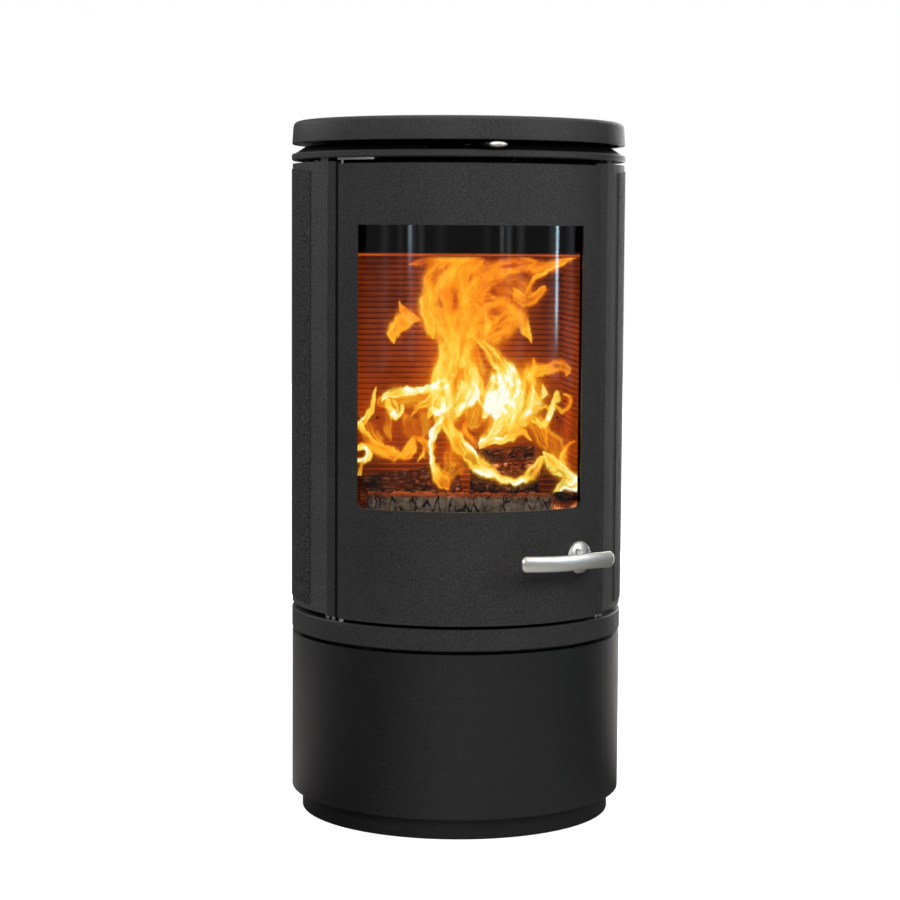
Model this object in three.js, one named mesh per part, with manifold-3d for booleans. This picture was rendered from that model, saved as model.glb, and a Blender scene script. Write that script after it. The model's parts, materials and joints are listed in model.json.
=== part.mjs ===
// A round free-standing wood stove: a drum-shaped body with a curved glass door, on a steel pedestal.
// Millimetres, +Z up. The origin is on the floor, on the stove's axis, and the door faces -Y.
// Angles are in degrees from the middle of the door, positive towards +X.
import * as THREE from 'three';
import { mergeVertices } from 'three/addons/utils/BufferGeometryUtils.js';
import Module from 'manifold-3d';

const wasm = await Module();
wasm.setup();

// ---------- driving dimensions ----------
const FIT = 0.3;                  // clearance between pieces that seat on or in one another
const FACET = 5;                  // arc that one flat facet of a round wall spans
const PIN_FACETS = 12;            // facets round a pin, screw or small bore
const CUT = 2;                    // how far a cut runs past the face that it opens
const WELD = 1;                   // how far the parts of one casting sink into each other

// radii and walls, from the outside in
const BODY_RADIUS = 217.5;        // door, rim and the raised fields of the side panels
const DOOR_WALL = 5.5;
const DOOR_FLANGE_DEPTH = 8.5;    // how far the door's edge flange stands in from its wall
const DOOR_SEAL_DEPTH = 1.9;
const FRAME_WALL = 4.7;
const DRUM_WALL = 4;
const PANEL_INSET = 1.2;          // smooth margin of a side panel, below its raised field
const PANEL_WALL = 3.3;
const RING_INSET = 0.7;
const PEDESTAL_INSET = 1;
const PLINTH_INSET = 14.9;
const TOP_INSET = 0.5;
const SHEET = 3;                  // pedestal and plinth sheet steel

// heights, from the floor up
const PLINTH_HEIGHT = 27.7;
const PEDESTAL_HEIGHT = 208;
const PEDESTAL_GAP = 4;           // shadow gap under the base ring
const RING_HEIGHT = 27.3;
const DOOR_GAP = 4.7;             // shadow gap under the door
const PANEL_GAP = 7.2;
const PANEL_HEIGHT = 570.5;
const DOOR_TOP_INSET = 3;         // door's top edge, below the panels'
const RIM_GAP = 4.5;
const RIM_HEIGHT = 8.5;
const COLLAR_HEIGHT = 9;
const TOP_GAP = 3.4;
const TOP_HEIGHT = 29.6;
const TOP_WALL = 8;
const TOP_EDGE_FACETS = 3;
const TOP_TAPER = 1.5;            // how far the top plate's side leans in

// base ring and rim details
const EDGE = 1.5;                 // chamfer on the edges of the castings
const SPIGOT_INSET = 13.5;        // base ring's foot, in from the body radius
const SPIGOT_WIDTH = 12;
const RING_FLOOR = 8.3;
const PEDESTAL_LEDGE = 16;
const COLLAR_FOOT_INSET = 3.5;    // foot of the black cone under the top plate
const COLLAR_TOP_INSET = 17.5;
const COLLAR_BORE_INSET = 28;

// side panels, posts and rear panel, as angles
const DOOR_HALF_ANGLE = 48.95;
const DOOR_SIDE_GAP = 0.5;
const POST_ANGLE = 5.15;
const POST_BEVEL = 5;             // how far a post's face falls back towards the door
const SEAM = 0.12;
const FIELD_MARGIN_ANGLE = 10.6;  // smooth margin between a post and the raised field
const PANEL_END_ANGLE = 140;
const FIELD_FOOT = 8;
const FIELD_TOP = 6.5;
const FIELD_TOP_SLOPE = 12.5;
const REAR_WALL = 2;
const REAR_SLOTS = 7;
const REAR_SLOT_HEIGHT = 44;
const REAR_SLOT_WIDTH = 9;
const LUG_FRONT_ANGLE = 57;       // lugs under the rim, that hold the panels' heads
const LUG_SIDE_ANGLE = 120;
const LUG_HALF_ANGLE = 2;

// door window and glass
const WINDOW_HALF_ANGLE = 40.3;
const WINDOW_SILL = 142;          // from the door's lower edge
const WINDOW_HEAD = 75.5;         // from the door's upper edge
const WINDOW_CORNER = 6;
const GLASS_WALL = 4;
const GLASS_LAP = 9;              // how far the glass reaches past the window
const GLASS_LAP_ANGLE = 4.7;
const GASKET = 1.4;
const GASKET_SETBACK = 1;          // gasket's outer edge, in from the glass
const GASKET_SETBACK_ANGLE = 0.3;
const GASKET_WIDTH = 6;
const GASKET_ANGLE = 2.3;
const FLANGE_ANGLE = 1.7;
const FLANGE_EDGE_ANGLE = 1.9;
const FLANGE_EDGE = 2;
const FLANGE_WIDTH = 7;
const SEAL_SETBACK = 1;           // seal's outer edge, in from the flange
const SEAL_SETBACK_ANGLE = 0.2;
const SEAL_WIDTH = 6;
const SEAL_ANGLE = 1.6;
const CLIP_HEIGHT = 18;
const CLIP_WALL = 1.9;
const CLIP_INSET = 45;
const CLIP_LAP_ANGLE = 3.3;

// hinge
const HINGE_INSET = 4.5;          // hinge axis, in from the body radius
const HINGE_EDGE_ANGLE = 0.8;     // hinge axis, in from the door's edge
const HINGE_PIN_RADIUS = 2;
const HINGE_PIN_LENGTH = 22;      // in the door
const HINGE_BOSS_RADIUS = 4.4;
const HINGE_BOSS_HEIGHT = 40;
const HINGE_RELIEF = 6;           // room that the door's edge needs to turn in
const HINGE_PLATE = 2.7;
const HINGE_PLATE_INSET = 2;
const HINGE_PLATE_ANGLE = 15.4;
const HINGE_PLATE_LAP_ANGLE = 1;  // plate's end, past the door's edge
const HINGE_PLATE_DEPTH = 11;
const HINGE_BUSH_RADIUS = 3.7;

// door handle
const HANDLE_ANGLE = 39.6;
const HANDLE_RISE = 79;           // from the door's lower edge
const ROSETTE_RADIUS = 21;
const ROSETTE_HEIGHT = 8.5;
const ROSETTE_RINGS = 5;
const ROSETTE_FACETS = 24;
const ROSETTE_SCREW_OFFSET = 13.2;
const ROSETTE_SCREW_ANGLE = 45;
const ROSETTE_SCREW_DEPTH = 3;    // from the door's face to the screw's seat
const ROSETTE_SCREW_RADIUS = 3.3;
const SPINDLE_RADIUS = 6.1;
const LEVER_STANDOFF = 32;
const LEVER_THICKNESS = 7.5;
const LEVER_HEIGHT = 20;
const LEVER_FREE_LENGTH = 117;    // along its arc, from the spindle to the lever's free end
const LEVER_TAIL_LENGTH = 26;
const LEVER_CORNER = 8;
const LEVER_TILT = 2.2;           // free end up, at rest
const LEVER_GROOVE_INSET = 2.4;
const LEVER_GROOVE_WIDTH = 1.8;
const LEVER_GROOVE_DEPTH = 2.4;
const CAM_GAP = 2.5;              // between the latch hook and the door's wall
const CAM_THICKNESS = 5;
const CAM_REACH = 25;
const CAM_HUB_RADIUS = 10;
const CAM_HUB_ANGLE = 30;
const CAM_HUB_FACETS = 12;
const CAM_HALF_HEIGHT = 5;
const THREAD_RADIUS = 3;
const THREAD_REST = 1;            // of the thread, past the nut
const NUT_RADIUS = 6.8;
const NUT_HEIGHT = 5;
const LATCH_SWING = 16;           // how far the hook's end drops when the lever is lifted
const KEEPER_ANGLE = 1.4;

// fastenings under the posts and panels
const POST_BOLT_ANGLE = 53.4;
const PANEL_BOLT_ANGLE = 56.7;
const BOLT_INSET = 9.5;
const BOLT_HEAD_RADIUS = 3.7;
const BOLT_SHANK_RADIUS = 2.2;
const BOLT_LENGTH = 12;
const FOOT_DEPTH = 10;
const FOOT_HEIGHT = 6;
const FOOT_HALF_ANGLE = 4;
const SIDE_FOOT_ANGLE = 124;
const REAR_FOOT_ANGLE = 25;       // to each side of the middle of the back

// firebox
const OPENING_HALF_ANGLE = 45;
const DRUM_SETBACK_ANGLE = 5;
const OPENING_SILL = 12;          // from the door's lower edge
const OPENING_HEAD = 12;
const FLOOR_DROP = 38;            // from the window's sill to the hearth
const FLOOR_THICKNESS = 10;
const GRATE_HALF_WIDTH = 82;
const GRATE_FRONT = 78;
const GRATE_BACK = 66;
const GRATE_THICKNESS = 5.7;
const GRATE_LEDGE = 4;
const GRATE_SLOTS = 7;
const GRATE_BAR = 9;
const RETAINER_GAP = 12;          // retainer, in from the drum
const RETAINER_WALL = 4;
const RETAINER_HALF_ANGLE = 36;
const RETAINER_HEIGHT = 27.7;
const LINER_THICKNESS = 7;
const LINER_RIB = 2.5;
const LINER_PITCH = 7.3;
const LINER_REACH = 104;          // liners' front and back ends, from the stove's axis
const LINER_GAP = 3;              // liners' corners, in from the drum
const AIR_HOLES = 13;
const AIR_HOLE_PITCH = 24.76;
const AIR_HOLE_RADIUS = 2;
const AIR_HOLE_FACETS = 8;
const AIR_HOLE_RISE = 131;        // from the hearth
const LINER_DROP = 39;            // top of the liners, below the window's head
const BAFFLE_THICKNESS = 4;
const BAFFLE_ARCH = 60;
const BAFFLE_FACETS = 12;
const DEFLECTOR_HALF_ANGLE = 50;
const DEFLECTOR_GAP = 3;
const DEFLECTOR_WALL = 3;
const DRUM_TOP_DROP = 8;          // from the panels' top edge to the firebox top plate's upper face
const CROWN_THICKNESS = 8;

const LOG_TAPER = 0.06;
const FRONT_LOG_SHARE = 0.53;     // front log's thickness, as a share of the liners' reach
const FRONT_LOG_SETBACK = 39.8536; // front log's face, in from the retainer
const HALVED_FACE_SHARE = 0.47;   // a halved log's face, from its middle line, of its thickness
const HALVED_BACK_SHARE = 0.5;

// flue collar, and the cover over it
const FLUE_FACETS = 36;
const FLUE_RADIUS = 75;
const FLUE_WALL = 3;
const FLUE_FLANGE = 13;
const FLUE_FLANGE_THICKNESS = 4;
const FLUE_HEIGHT = 22;
const COVER_RADIUS = 82;
const COVER_THICKNESS = 5;
const COVER_LEDGE = 6;
const COVER_NOTCH_RADIUS = 9;
const SPACERS = 3;
const SPACER_RADIUS = 4.5;

// air control
const AIR_PIVOT_GAP = 22;          // pivot, out from the flue collar's flange
const AIR_ROD_RADIUS = 2.5;
const AIR_ROD_REACH = 4;          // rod's end, inside the knob
const AIR_ROD_STRAIGHT = 0.85;    // share of the rod that runs straight
const AIR_ROD_STEPS = 22;
const AIR_ROD_FACETS = 8;
const AIR_ROD_START = 0.05;       // share of the way out where the rod leaves its eye
const AIR_EYE_RADIUS = 8;
const AIR_SCREW_RADIUS = 3;
const AIR_HEAD_HEIGHT = 1.2;
const AIR_HEAD_RADIUS = 6;
const AIR_KNOB_ANGLE = 6.7;
const AIR_KNOB_STANDOFF = 3.5;    // knob's middle, outside the body radius
const AIR_KNOB_SIZE = new THREE.Vector3(12.5, 6, 3.8);
const AIR_KNOB_FACETS = 10;
const AIR_ROD_ANGLE = 3.1;        // where the rod leaves the collar
const AIR_NOTCH_LEFT = 17;
const AIR_NOTCH_RIGHT = 11;
const AIR_NOTCH_FLOOR = 2.5;
const SHUTTER_RADIUS = 52;
const SHUTTER_HALF_ANGLE = 52;
const SHUTTER_THICKNESS = 2.5;
const SHUTTER_PORT_IN = 26;
const SHUTTER_PORT_OUT = 44;
const SHUTTER_PORT_FROM = 11;
const SHUTTER_PORT_TO = 30;

// ash pan and its chamber
const PAN_HALF_WIDTH = 110;
const PAN_FRONT_GAP = 14;         // pan's front corners, in from the frame
const PAN_BACK = 85;
const PAN_HEIGHT = 56;
const PAN_WALL = 2;
const PAN_SIDE_GAP = 2;
const CHAMBER_SETBACK = 6;        // chamber's mouth, behind the pan's front
const PAN_GRIP_REACH = 14;
const PAN_GRIP_WIDTH = 90;
const PAN_GRIP_THICKNESS = 6;

// ---------- heights and radii that follow ----------
const pedestalFoot = PLINTH_HEIGHT + FIT;
const pedestalTop = pedestalFoot + PEDESTAL_HEIGHT;
const ringFoot = pedestalTop + PEDESTAL_GAP;
const ringTop = ringFoot + RING_HEIGHT;
const doorFoot = ringTop + DOOR_GAP;
const panelFoot = ringTop + PANEL_GAP;
const panelTop = panelFoot + PANEL_HEIGHT;
const doorTop = panelTop - DOOR_TOP_INSET;
const rimFoot = panelTop + RIM_GAP;
const rimTop = rimFoot + RIM_HEIGHT;
const collarTop = rimTop + COLLAR_HEIGHT;
const topFoot = collarTop + TOP_GAP;
const topFace = topFoot + TOP_HEIGHT;
const topUnderside = topFace - TOP_WALL;
const windowFoot = doorFoot + WINDOW_SILL;
const windowTop = doorTop - WINDOW_HEAD;
const hearth = windowFoot - FLOOR_DROP;
const hearthUnderside = hearth - FLOOR_THICKNESS;
const openingFoot = doorFoot + OPENING_SILL;
const openingTop = doorTop - OPENING_HEAD;
const crownTop = panelTop - DRUM_TOP_DROP + CROWN_THICKNESS;
const crownFoot = crownTop - CROWN_THICKNESS;
const linerFoot = hearth + FIT;
const linerTop = windowTop - LINER_DROP;
const handleHeight = doorFoot + HANDLE_RISE;

const doorWallIn = BODY_RADIUS - DOOR_WALL;
const flangeIn = doorWallIn - DOOR_FLANGE_DEPTH;
const sealOut = flangeIn - FIT;
const sealIn = sealOut - DOOR_SEAL_DEPTH;
const frameOut = sealIn - FIT;
const frameIn = frameOut - FRAME_WALL;
const drumOut = frameIn - FIT;
const drumIn = drumOut - DRUM_WALL;
const linerHalfWidth = Math.sqrt((drumIn - LINER_GAP) ** 2 - LINER_REACH ** 2);
const panFront = Math.sqrt((frameIn - PAN_FRONT_GAP) ** 2 - PAN_HALF_WIDTH ** 2);
const airPivotY = FLUE_RADIUS + FLUE_FLANGE + AIR_PIVOT_GAP;
const panelRadius = BODY_RADIUS - PANEL_INSET;
const panelIn = panelRadius - PANEL_WALL;
const ringRadius = BODY_RADIUS - RING_INSET;
const pedestalRadius = BODY_RADIUS - PEDESTAL_INSET;
const pedestalIn = pedestalRadius - SHEET;
const topRadius = BODY_RADIUS - TOP_INSET;
const postInAngle = DOOR_HALF_ANGLE + DOOR_SIDE_GAP;
const postOutAngle = postInAngle + POST_ANGLE;
const panelFromAngle = postOutAngle + SEAM;
const boltRadius = BODY_RADIUS - BOLT_INSET;
const retainerRadius = drumIn - RETAINER_GAP;
const frontLogFace = retainerRadius - RETAINER_WALL - FRONT_LOG_SETBACK;
const frontLogBack = frontLogFace - (HALVED_FACE_SHARE + HALVED_BACK_SHARE) * FRONT_LOG_SHARE * LINER_REACH;
const hinge = polar(BODY_RADIUS - HINGE_INSET, HINGE_EDGE_ANGLE - DOOR_HALF_ANGLE);

// ---------- shapes ----------
// A point in plan at a radius and an angle from the middle of the door.
function polar(radius, angle) {
  const turn = THREE.MathUtils.degToRad(angle);
  return new THREE.Vector2(radius * Math.sin(turn), -radius * Math.cos(turn));
}

// Points of an arc in plan, about the stove's axis. All arcs share one grid of corners, so that
// nested walls keep an even gap.
function arc(radius, from, to) {
  const low = Math.floor(Math.min(from, to) / FACET + 0.02) + 1;
  const high = Math.ceil(Math.max(from, to) / FACET - 0.02) - 1;
  const grid = Array.from({ length: Math.max(0, high - low + 1) }, (_, i) => (low + i) * FACET);
  if (to < from) grid.reverse();
  return [from, ...grid, to].map((angle) => polar(radius, angle));
}

// Points of an arc about any centre, in a profile or an outline; 0 degrees points along the first axis.
function curve(centreX, centreY, radius, from, to, steps) {
  return Array.from({ length: steps + 1 }, (_, i) => {
    const turn = THREE.MathUtils.degToRad(from + (to - from) * i / steps);
    return [centreX + radius * Math.cos(turn), centreY + radius * Math.sin(turn)];
  });
}

// A closed solid from a geometry, with its faces pointing out.
function solid(geometry) {
  const bare = geometry.clone();
  bare.deleteAttribute('normal');
  bare.deleteAttribute('uv');
  const merged = mergeVertices(bare, 1e-4);
  const place = merged.attributes.position;
  const corner = Array.from({ length: 3 }, () => new THREE.Vector3());
  const kept = [];
  let volume = 0;
  for (let i = 0; i < merged.index.count; i += 3) {
    const face = [0, 1, 2].map((k) => merged.index.getX(i + k));
    if (new Set(face).size < 3) continue;
    face.forEach((vertex, k) => corner[k].fromBufferAttribute(place, vertex));
    volume += corner[0].dot(corner[1].clone().cross(corner[2]));
    kept.push(face);
  }
  const faces = volume > 0 ? kept : kept.map(([a, b, c]) => [a, c, b]);
  return new wasm.Manifold(new wasm.Mesh({
    numProp: 3,
    vertProperties: new Float32Array(place.array),
    triVerts: new Uint32Array(faces.flat()),
  }));
}

const vector = (point) => (point.isVector2 ? point : new THREE.Vector2(...point));

// An outline in plan, carried from one height to another.
function prism(outline, from, to) {
  const shape = new THREE.Shape(outline.map(vector));
  const made = new THREE.ExtrudeGeometry(shape, { depth: to - from, bevelEnabled: false });
  return solid(made.translate(0, 0, from));
}

function block(fromX, toX, fromY, toY, from, to) {
  return prism([[fromX, fromY], [toX, fromY], [toX, toY], [fromX, toY]], from, to);
}

// A curved wall between two radii, two angles and two heights.
function wall(inner, outer, fromAngle, toAngle, from, to) {
  return prism([...arc(outer, fromAngle, toAngle), ...arc(inner, toAngle, fromAngle)], from, to);
}

// A profile of [radius, height] points turned about the stove's axis.
function turned(profile, facets = 360 / FACET) {
  const onAxis = profile.some(([radius]) => radius === 0);
  const points = (onAxis ? profile : [...profile, profile[0]]).map(vector);
  return solid(new THREE.LatheGeometry(points, facets).rotateX(Math.PI / 2));
}

const disc = (radius, from, to) => turned([[0, from], [radius, from], [radius, to], [0, to]]);

function pin(radius, from, to, at = new THREE.Vector2(), facets = PIN_FACETS) {
  const shaft = new THREE.CylinderGeometry(radius, radius, to - from, facets);
  return solid(shaft.rotateX(Math.PI / 2).translate(at.x, at.y, (from + to) / 2));
}

function sleeve(inner, outer, from, to, facets = PIN_FACETS) {
  return turned([[inner, from], [outer, from], [outer, to], [inner, to]], facets);
}

// Turns a solid made along +Z so that +Z points out through the door at an angle and height.
function outward(made, angle, height) {
  return made.rotate([90, 0, 0]).rotate([0, 0, angle]).translate([0, 0, height]);
}

// The part of a square corner that a rounding takes away, along +Z; the corner points to -X and -Y.
function cornerWaste(radius, from, to, signX, signY) {
  const waste = [[-1, -1], [radius, -1], ...curve(radius, radius, radius, -90, -180, 5), [-1, radius]];
  return prism(waste.map(([x, y]) => [x * signX, y * signY]), from, to);
}

const both = (make) => [-1, 1].map(make);
const joined = (solids) => solids.reduce((sum, next) => sum.add(next));
const mirrored = (made) => made.mirror([1, 0, 0]);

// ---------- scene graph ----------
const CAST = { color: 0x34332f, roughness: 0.72, metalness: 0.35 };
const STEEL = { color: 0x242424, roughness: 0.55, metalness: 0.4 };
const DARK = { color: 0x121212, roughness: 0.85, metalness: 0.2 };
const ZINC = { color: 0xb4b0a6, roughness: 0.35, metalness: 0.9 };
const BRUSHED = { color: 0xb9b4ab, roughness: 0.32, metalness: 0.95 };
const HEARTH = { color: 0x6b3a1c, roughness: 0.9, metalness: 0.05 };
const ROPE = { color: 0x4a4843, roughness: 0.95, metalness: 0 };
const BARK = { color: 0x4b3a2c, roughness: 0.95, metalness: 0 };
const CHARRED = { color: 0x1c1511, roughness: 0.95, metalness: 0 };
const GLASS = { color: 0x181b1d, roughness: 0.05, metalness: 0, transparent: true, opacity: 0.3 };

const stove = new THREE.Group();
const door = new THREE.Group();
const handle = new THREE.Group();
const airControl = new THREE.Group();
const flueCover = new THREE.Group();
const ashPan = new THREE.Group();
stove.add(door, airControl, flueCover, ashPan);
door.add(handle);

// Adds a solid to a group as a named mesh; a place is where a piece made at the origin goes.
function add(group, name, made, finish, place = new THREE.Vector3(), turn = 0) {
  const mesh = made.getMesh();
  const geometry = new THREE.BufferGeometry();
  geometry.setAttribute('position', new THREE.BufferAttribute(mesh.vertProperties, 3));
  geometry.setIndex(new THREE.BufferAttribute(mesh.triVerts, 1));
  geometry.computeVertexNormals();
  const piece = new THREE.Mesh(geometry, new THREE.MeshStandardMaterial(finish));
  piece.name = name;
  piece.position.copy(place);
  piece.rotation.z = THREE.MathUtils.degToRad(turn);
  group.add(piece);
}

// ---------- base ----------
function addBase() {
  const plinthRadius = BODY_RADIUS - PLINTH_INSET;
  add(stove, 'plinth_pan', turned([
    [0, 0], [plinthRadius, 0], [plinthRadius, PLINTH_HEIGHT], [plinthRadius - SHEET, PLINTH_HEIGHT],
    [plinthRadius - SHEET, SHEET], [0, SHEET],
  ]), DARK);

  const ledge = pedestalIn - PEDESTAL_LEDGE;
  add(stove, 'pedestal_shell', turned([
    [0, pedestalTop], [pedestalRadius, pedestalTop], [pedestalRadius, pedestalFoot], [ledge, pedestalFoot],
    [ledge, pedestalFoot + SHEET], [pedestalIn, pedestalFoot + SHEET], [pedestalIn, pedestalTop - SHEET],
    [0, pedestalTop - SHEET],
  ]), STEEL);

  const spigotOut = BODY_RADIUS - SPIGOT_INSET;
  const spigotIn = spigotOut - SPIGOT_WIDTH;
  const spigotFoot = pedestalTop + FIT;
  const ring = turned([
    [0, ringTop - RING_FLOOR], [spigotIn, ringTop - RING_FLOOR], [spigotIn, spigotFoot],
    [spigotOut, spigotFoot], [spigotOut, ringFoot], [ringRadius - EDGE, ringFoot],
    [ringRadius, ringFoot + EDGE], [ringRadius, ringTop - EDGE], [ringRadius - EDGE, ringTop], [0, ringTop],
  ]);
  const bore = pin(HINGE_PIN_RADIUS + FIT, ringTop - RING_FLOOR - FIT, ringTop + CUT, hinge);
  add(stove, 'base_ring', ring.subtract(bore), CAST);
}

// ---------- body shell ----------
function addFrame() {
  const foot = ringTop + FIT;
  const plate = wall(frameIn, frameOut, -postOutAngle, postOutAngle, foot, panelTop);
  const openingHalf = OPENING_HALF_ANGLE;
  const opening = wall(frameIn - CUT, frameOut + CUT, -openingHalf, openingHalf, openingFoot, openingTop);
  const posts = both((side) => prism([
    ...arc(frameOut - WELD, side * postInAngle, side * postOutAngle),
    polar(panelRadius, side * postOutAngle), polar(panelRadius - POST_BEVEL, side * postInAngle),
  ], doorFoot, panelTop));
  const boreTop = doorFoot + BOLT_LENGTH + FIT;
  const bores = both((side) => pin(
    BOLT_SHANK_RADIUS + FIT, doorFoot - CUT, boreTop, polar(boltRadius, side * POST_BOLT_ANGLE)));
  const relief = pin(HINGE_RELIEF, foot - CUT, panelTop + CUT, hinge, 2 * PIN_FACETS);
  const frame = plate.subtract(opening).add(joined(posts)).subtract(joined(bores)).subtract(relief);
  add(stove, 'front_frame', frame, CAST);
}

// The panel on the +X side: a smooth margin, a raised field and the feet that carry it.
function sidePanel() {
  const skin = wall(panelIn, panelRadius, panelFromAngle, PANEL_END_ANGLE, panelFoot, panelTop);
  const fieldFrom = postOutAngle + FIELD_MARGIN_ANGLE;
  const field = wall(
    panelIn + WELD, BODY_RADIUS, fieldFrom, PANEL_END_ANGLE - FIELD_MARGIN_ANGLE / 2,
    panelFoot + FIELD_FOOT, panelTop - WELD);
  const above = block(-BODY_RADIUS, BODY_RADIUS, -BODY_RADIUS, BODY_RADIUS, 0, PANEL_HEIGHT)
    .rotate([0, -FIELD_TOP_SLOPE, 0]).translate([BODY_RADIUS, 0, panelTop - FIELD_TOP]);
  const frontFoot = wall(
    panelIn - FOOT_DEPTH, panelIn + WELD, panelFromAngle + FIT, panelFromAngle + FIELD_MARGIN_ANGLE,
    panelFoot, panelFoot + FOOT_HEIGHT);
  const rearFoot = wall(
    panelIn - FOOT_DEPTH, panelIn + WELD,
    SIDE_FOOT_ANGLE - FOOT_HALF_ANGLE, SIDE_FOOT_ANGLE + FOOT_HALF_ANGLE,
    ringTop + FIT, panelFoot + FOOT_HEIGHT);
  const bore = pin(BOLT_SHANK_RADIUS + FIT, panelFoot - CUT, panelFoot + FOOT_HEIGHT + CUT,
    polar(boltRadius, PANEL_BOLT_ANGLE));
  return skin.add(field.subtract(above)).add(frontFoot).add(rearFoot).subtract(bore);
}

function addPanels() {
  const right = sidePanel();
  add(stove, 'right_side_panel', right, CAST);
  add(stove, 'left_side_panel', mirrored(right), CAST);

  const rearFrom = PANEL_END_ANGLE + SEAM;
  const sheet = wall(panelRadius - REAR_WALL, panelRadius, rearFrom, 360 - rearFrom, panelFoot, panelTop);
  const feet = [180 - REAR_FOOT_ANGLE, 180 + REAR_FOOT_ANGLE].map((angle) => wall(
    panelIn - FOOT_DEPTH, panelRadius - REAR_WALL / 2, angle - FOOT_HALF_ANGLE, angle + FOOT_HALF_ANGLE,
    ringTop + FIT, panelFoot + FOOT_HEIGHT));
  const slotPitch = (360 - 2 * rearFrom) / (REAR_SLOTS + 1);
  const slots = [panelFoot + REAR_SLOT_HEIGHT, panelTop - REAR_SLOT_HEIGHT].flatMap((height) =>
    Array.from({ length: REAR_SLOTS }, (_, i) => outward(
      block(-REAR_SLOT_WIDTH / 2, REAR_SLOT_WIDTH / 2, -REAR_SLOT_HEIGHT / 2, REAR_SLOT_HEIGHT / 2,
        panelIn - CUT, panelRadius + CUT),
      rearFrom + slotPitch * (i + 1), height)));
  add(stove, 'rear_panel', sheet.add(joined(feet)).subtract(joined(slots)), STEEL);

  for (const side of [-1, 1]) {
    const name = side < 0 ? 'left' : 'right';
    const carried = [['post', doorFoot, POST_BOLT_ANGLE], ['panel', panelFoot, PANEL_BOLT_ANGLE]];
    for (const [piece, foot, angle] of carried) {
      const head = pin(BOLT_HEAD_RADIUS, ringTop + FIT, foot - FIT);
      const shank = pin(BOLT_SHANK_RADIUS, foot - 2 * FIT, foot + BOLT_LENGTH);
      const place = polar(boltRadius, side * angle);
      add(stove, `${name}_${piece}_bolt`, head.add(shank), ZINC, new THREE.Vector3(place.x, place.y, 0));
    }
  }
}

function addRim() {
  const bore = BODY_RADIUS - COLLAR_BORE_INSET;
  const ring = turned([
    [bore, rimFoot], [BODY_RADIUS - EDGE, rimFoot], [BODY_RADIUS, rimFoot + EDGE],
    [BODY_RADIUS, rimTop - EDGE], [BODY_RADIUS - EDGE, rimTop], [BODY_RADIUS - COLLAR_FOOT_INSET, rimTop],
    [BODY_RADIUS - COLLAR_TOP_INSET, collarTop], [bore, collarTop],
  ]);
  const lugAngles = [-LUG_FRONT_ANGLE, LUG_FRONT_ANGLE, -LUG_SIDE_ANGLE, LUG_SIDE_ANGLE, 180];
  const lugs = lugAngles.map((angle) => wall(panelIn - FIT, panelRadius - WELD,
    angle - LUG_HALF_ANGLE, angle + LUG_HALF_ANGLE, panelTop + FIT, rimFoot + WELD));
  const notch = wall(bore - CUT, BODY_RADIUS + CUT, -AIR_NOTCH_LEFT, AIR_NOTCH_RIGHT,
    rimTop + AIR_NOTCH_FLOOR, collarTop + CUT);
  add(stove, 'rim_collar', ring.add(joined(lugs)).subtract(notch), CAST);

  const spacer = pin(SPACER_RADIUS, collarTop + FIT, topUnderside - FIT);
  for (let i = 0; i < SPACERS; i += 1) {
    const inset = (COLLAR_BORE_INSET + COLLAR_TOP_INSET) / 2;
    const place = polar(BODY_RADIUS - inset, 360 / SPACERS * (i + 0.5));
    add(stove, `top_plate_spacer_${i + 1}`, spacer, ZINC, new THREE.Vector3(place.x, place.y, 0));
  }
}

// ---------- firebox ----------
// A plate with level flutes on its front: its thickness runs along +Y, its width along X.
function flutedPlate(fromX, toX, frontY, backY) {
  const ribs = Math.floor((linerTop - linerFoot) / LINER_PITCH);
  const profile = [[backY, linerTop], [backY, linerFoot], [frontY, linerFoot]];
  for (let i = 0; i < ribs; i += 1) {
    const valley = linerFoot + LINER_PITCH * (i + 0.5);
    profile.push([frontY, valley - LINER_PITCH / 4], [frontY + LINER_RIB, valley]);
  }
  profile.push([frontY, linerTop]);
  const shape = new THREE.Shape(profile.map(vector));
  const plate = new THREE.ExtrudeGeometry(shape, { depth: toX - fromX, bevelEnabled: false });
  plate.rotateZ(Math.PI / 2).rotateY(Math.PI / 2).translate(fromX, 0, 0);
  return solid(plate);
}

function addLiners() {
  const front = LINER_REACH - LINER_THICKNESS;
  const spread = (AIR_HOLES - 1) / 2;
  const hole = pin(AIR_HOLE_RADIUS, -LINER_REACH - CUT, CUT - front, undefined, AIR_HOLE_FACETS)
    .rotate([90, 0, 0]);
  const holes = Array.from({ length: AIR_HOLES }, (_, i) =>
    hole.translate([(i - spread) * AIR_HOLE_PITCH, 0, hearth + AIR_HOLE_RISE]));
  const back = flutedPlate(-linerHalfWidth, linerHalfWidth, front, LINER_REACH);
  add(stove, 'back_liner', back.subtract(joined(holes)), HEARTH);

  const side = flutedPlate(-LINER_REACH, front - FIT, linerHalfWidth - LINER_THICKNESS, linerHalfWidth)
    .rotate([0, 0, 90]);
  add(stove, 'right_liner', mirrored(side), HEARTH);
  add(stove, 'left_liner', side, HEARTH);
}

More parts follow.
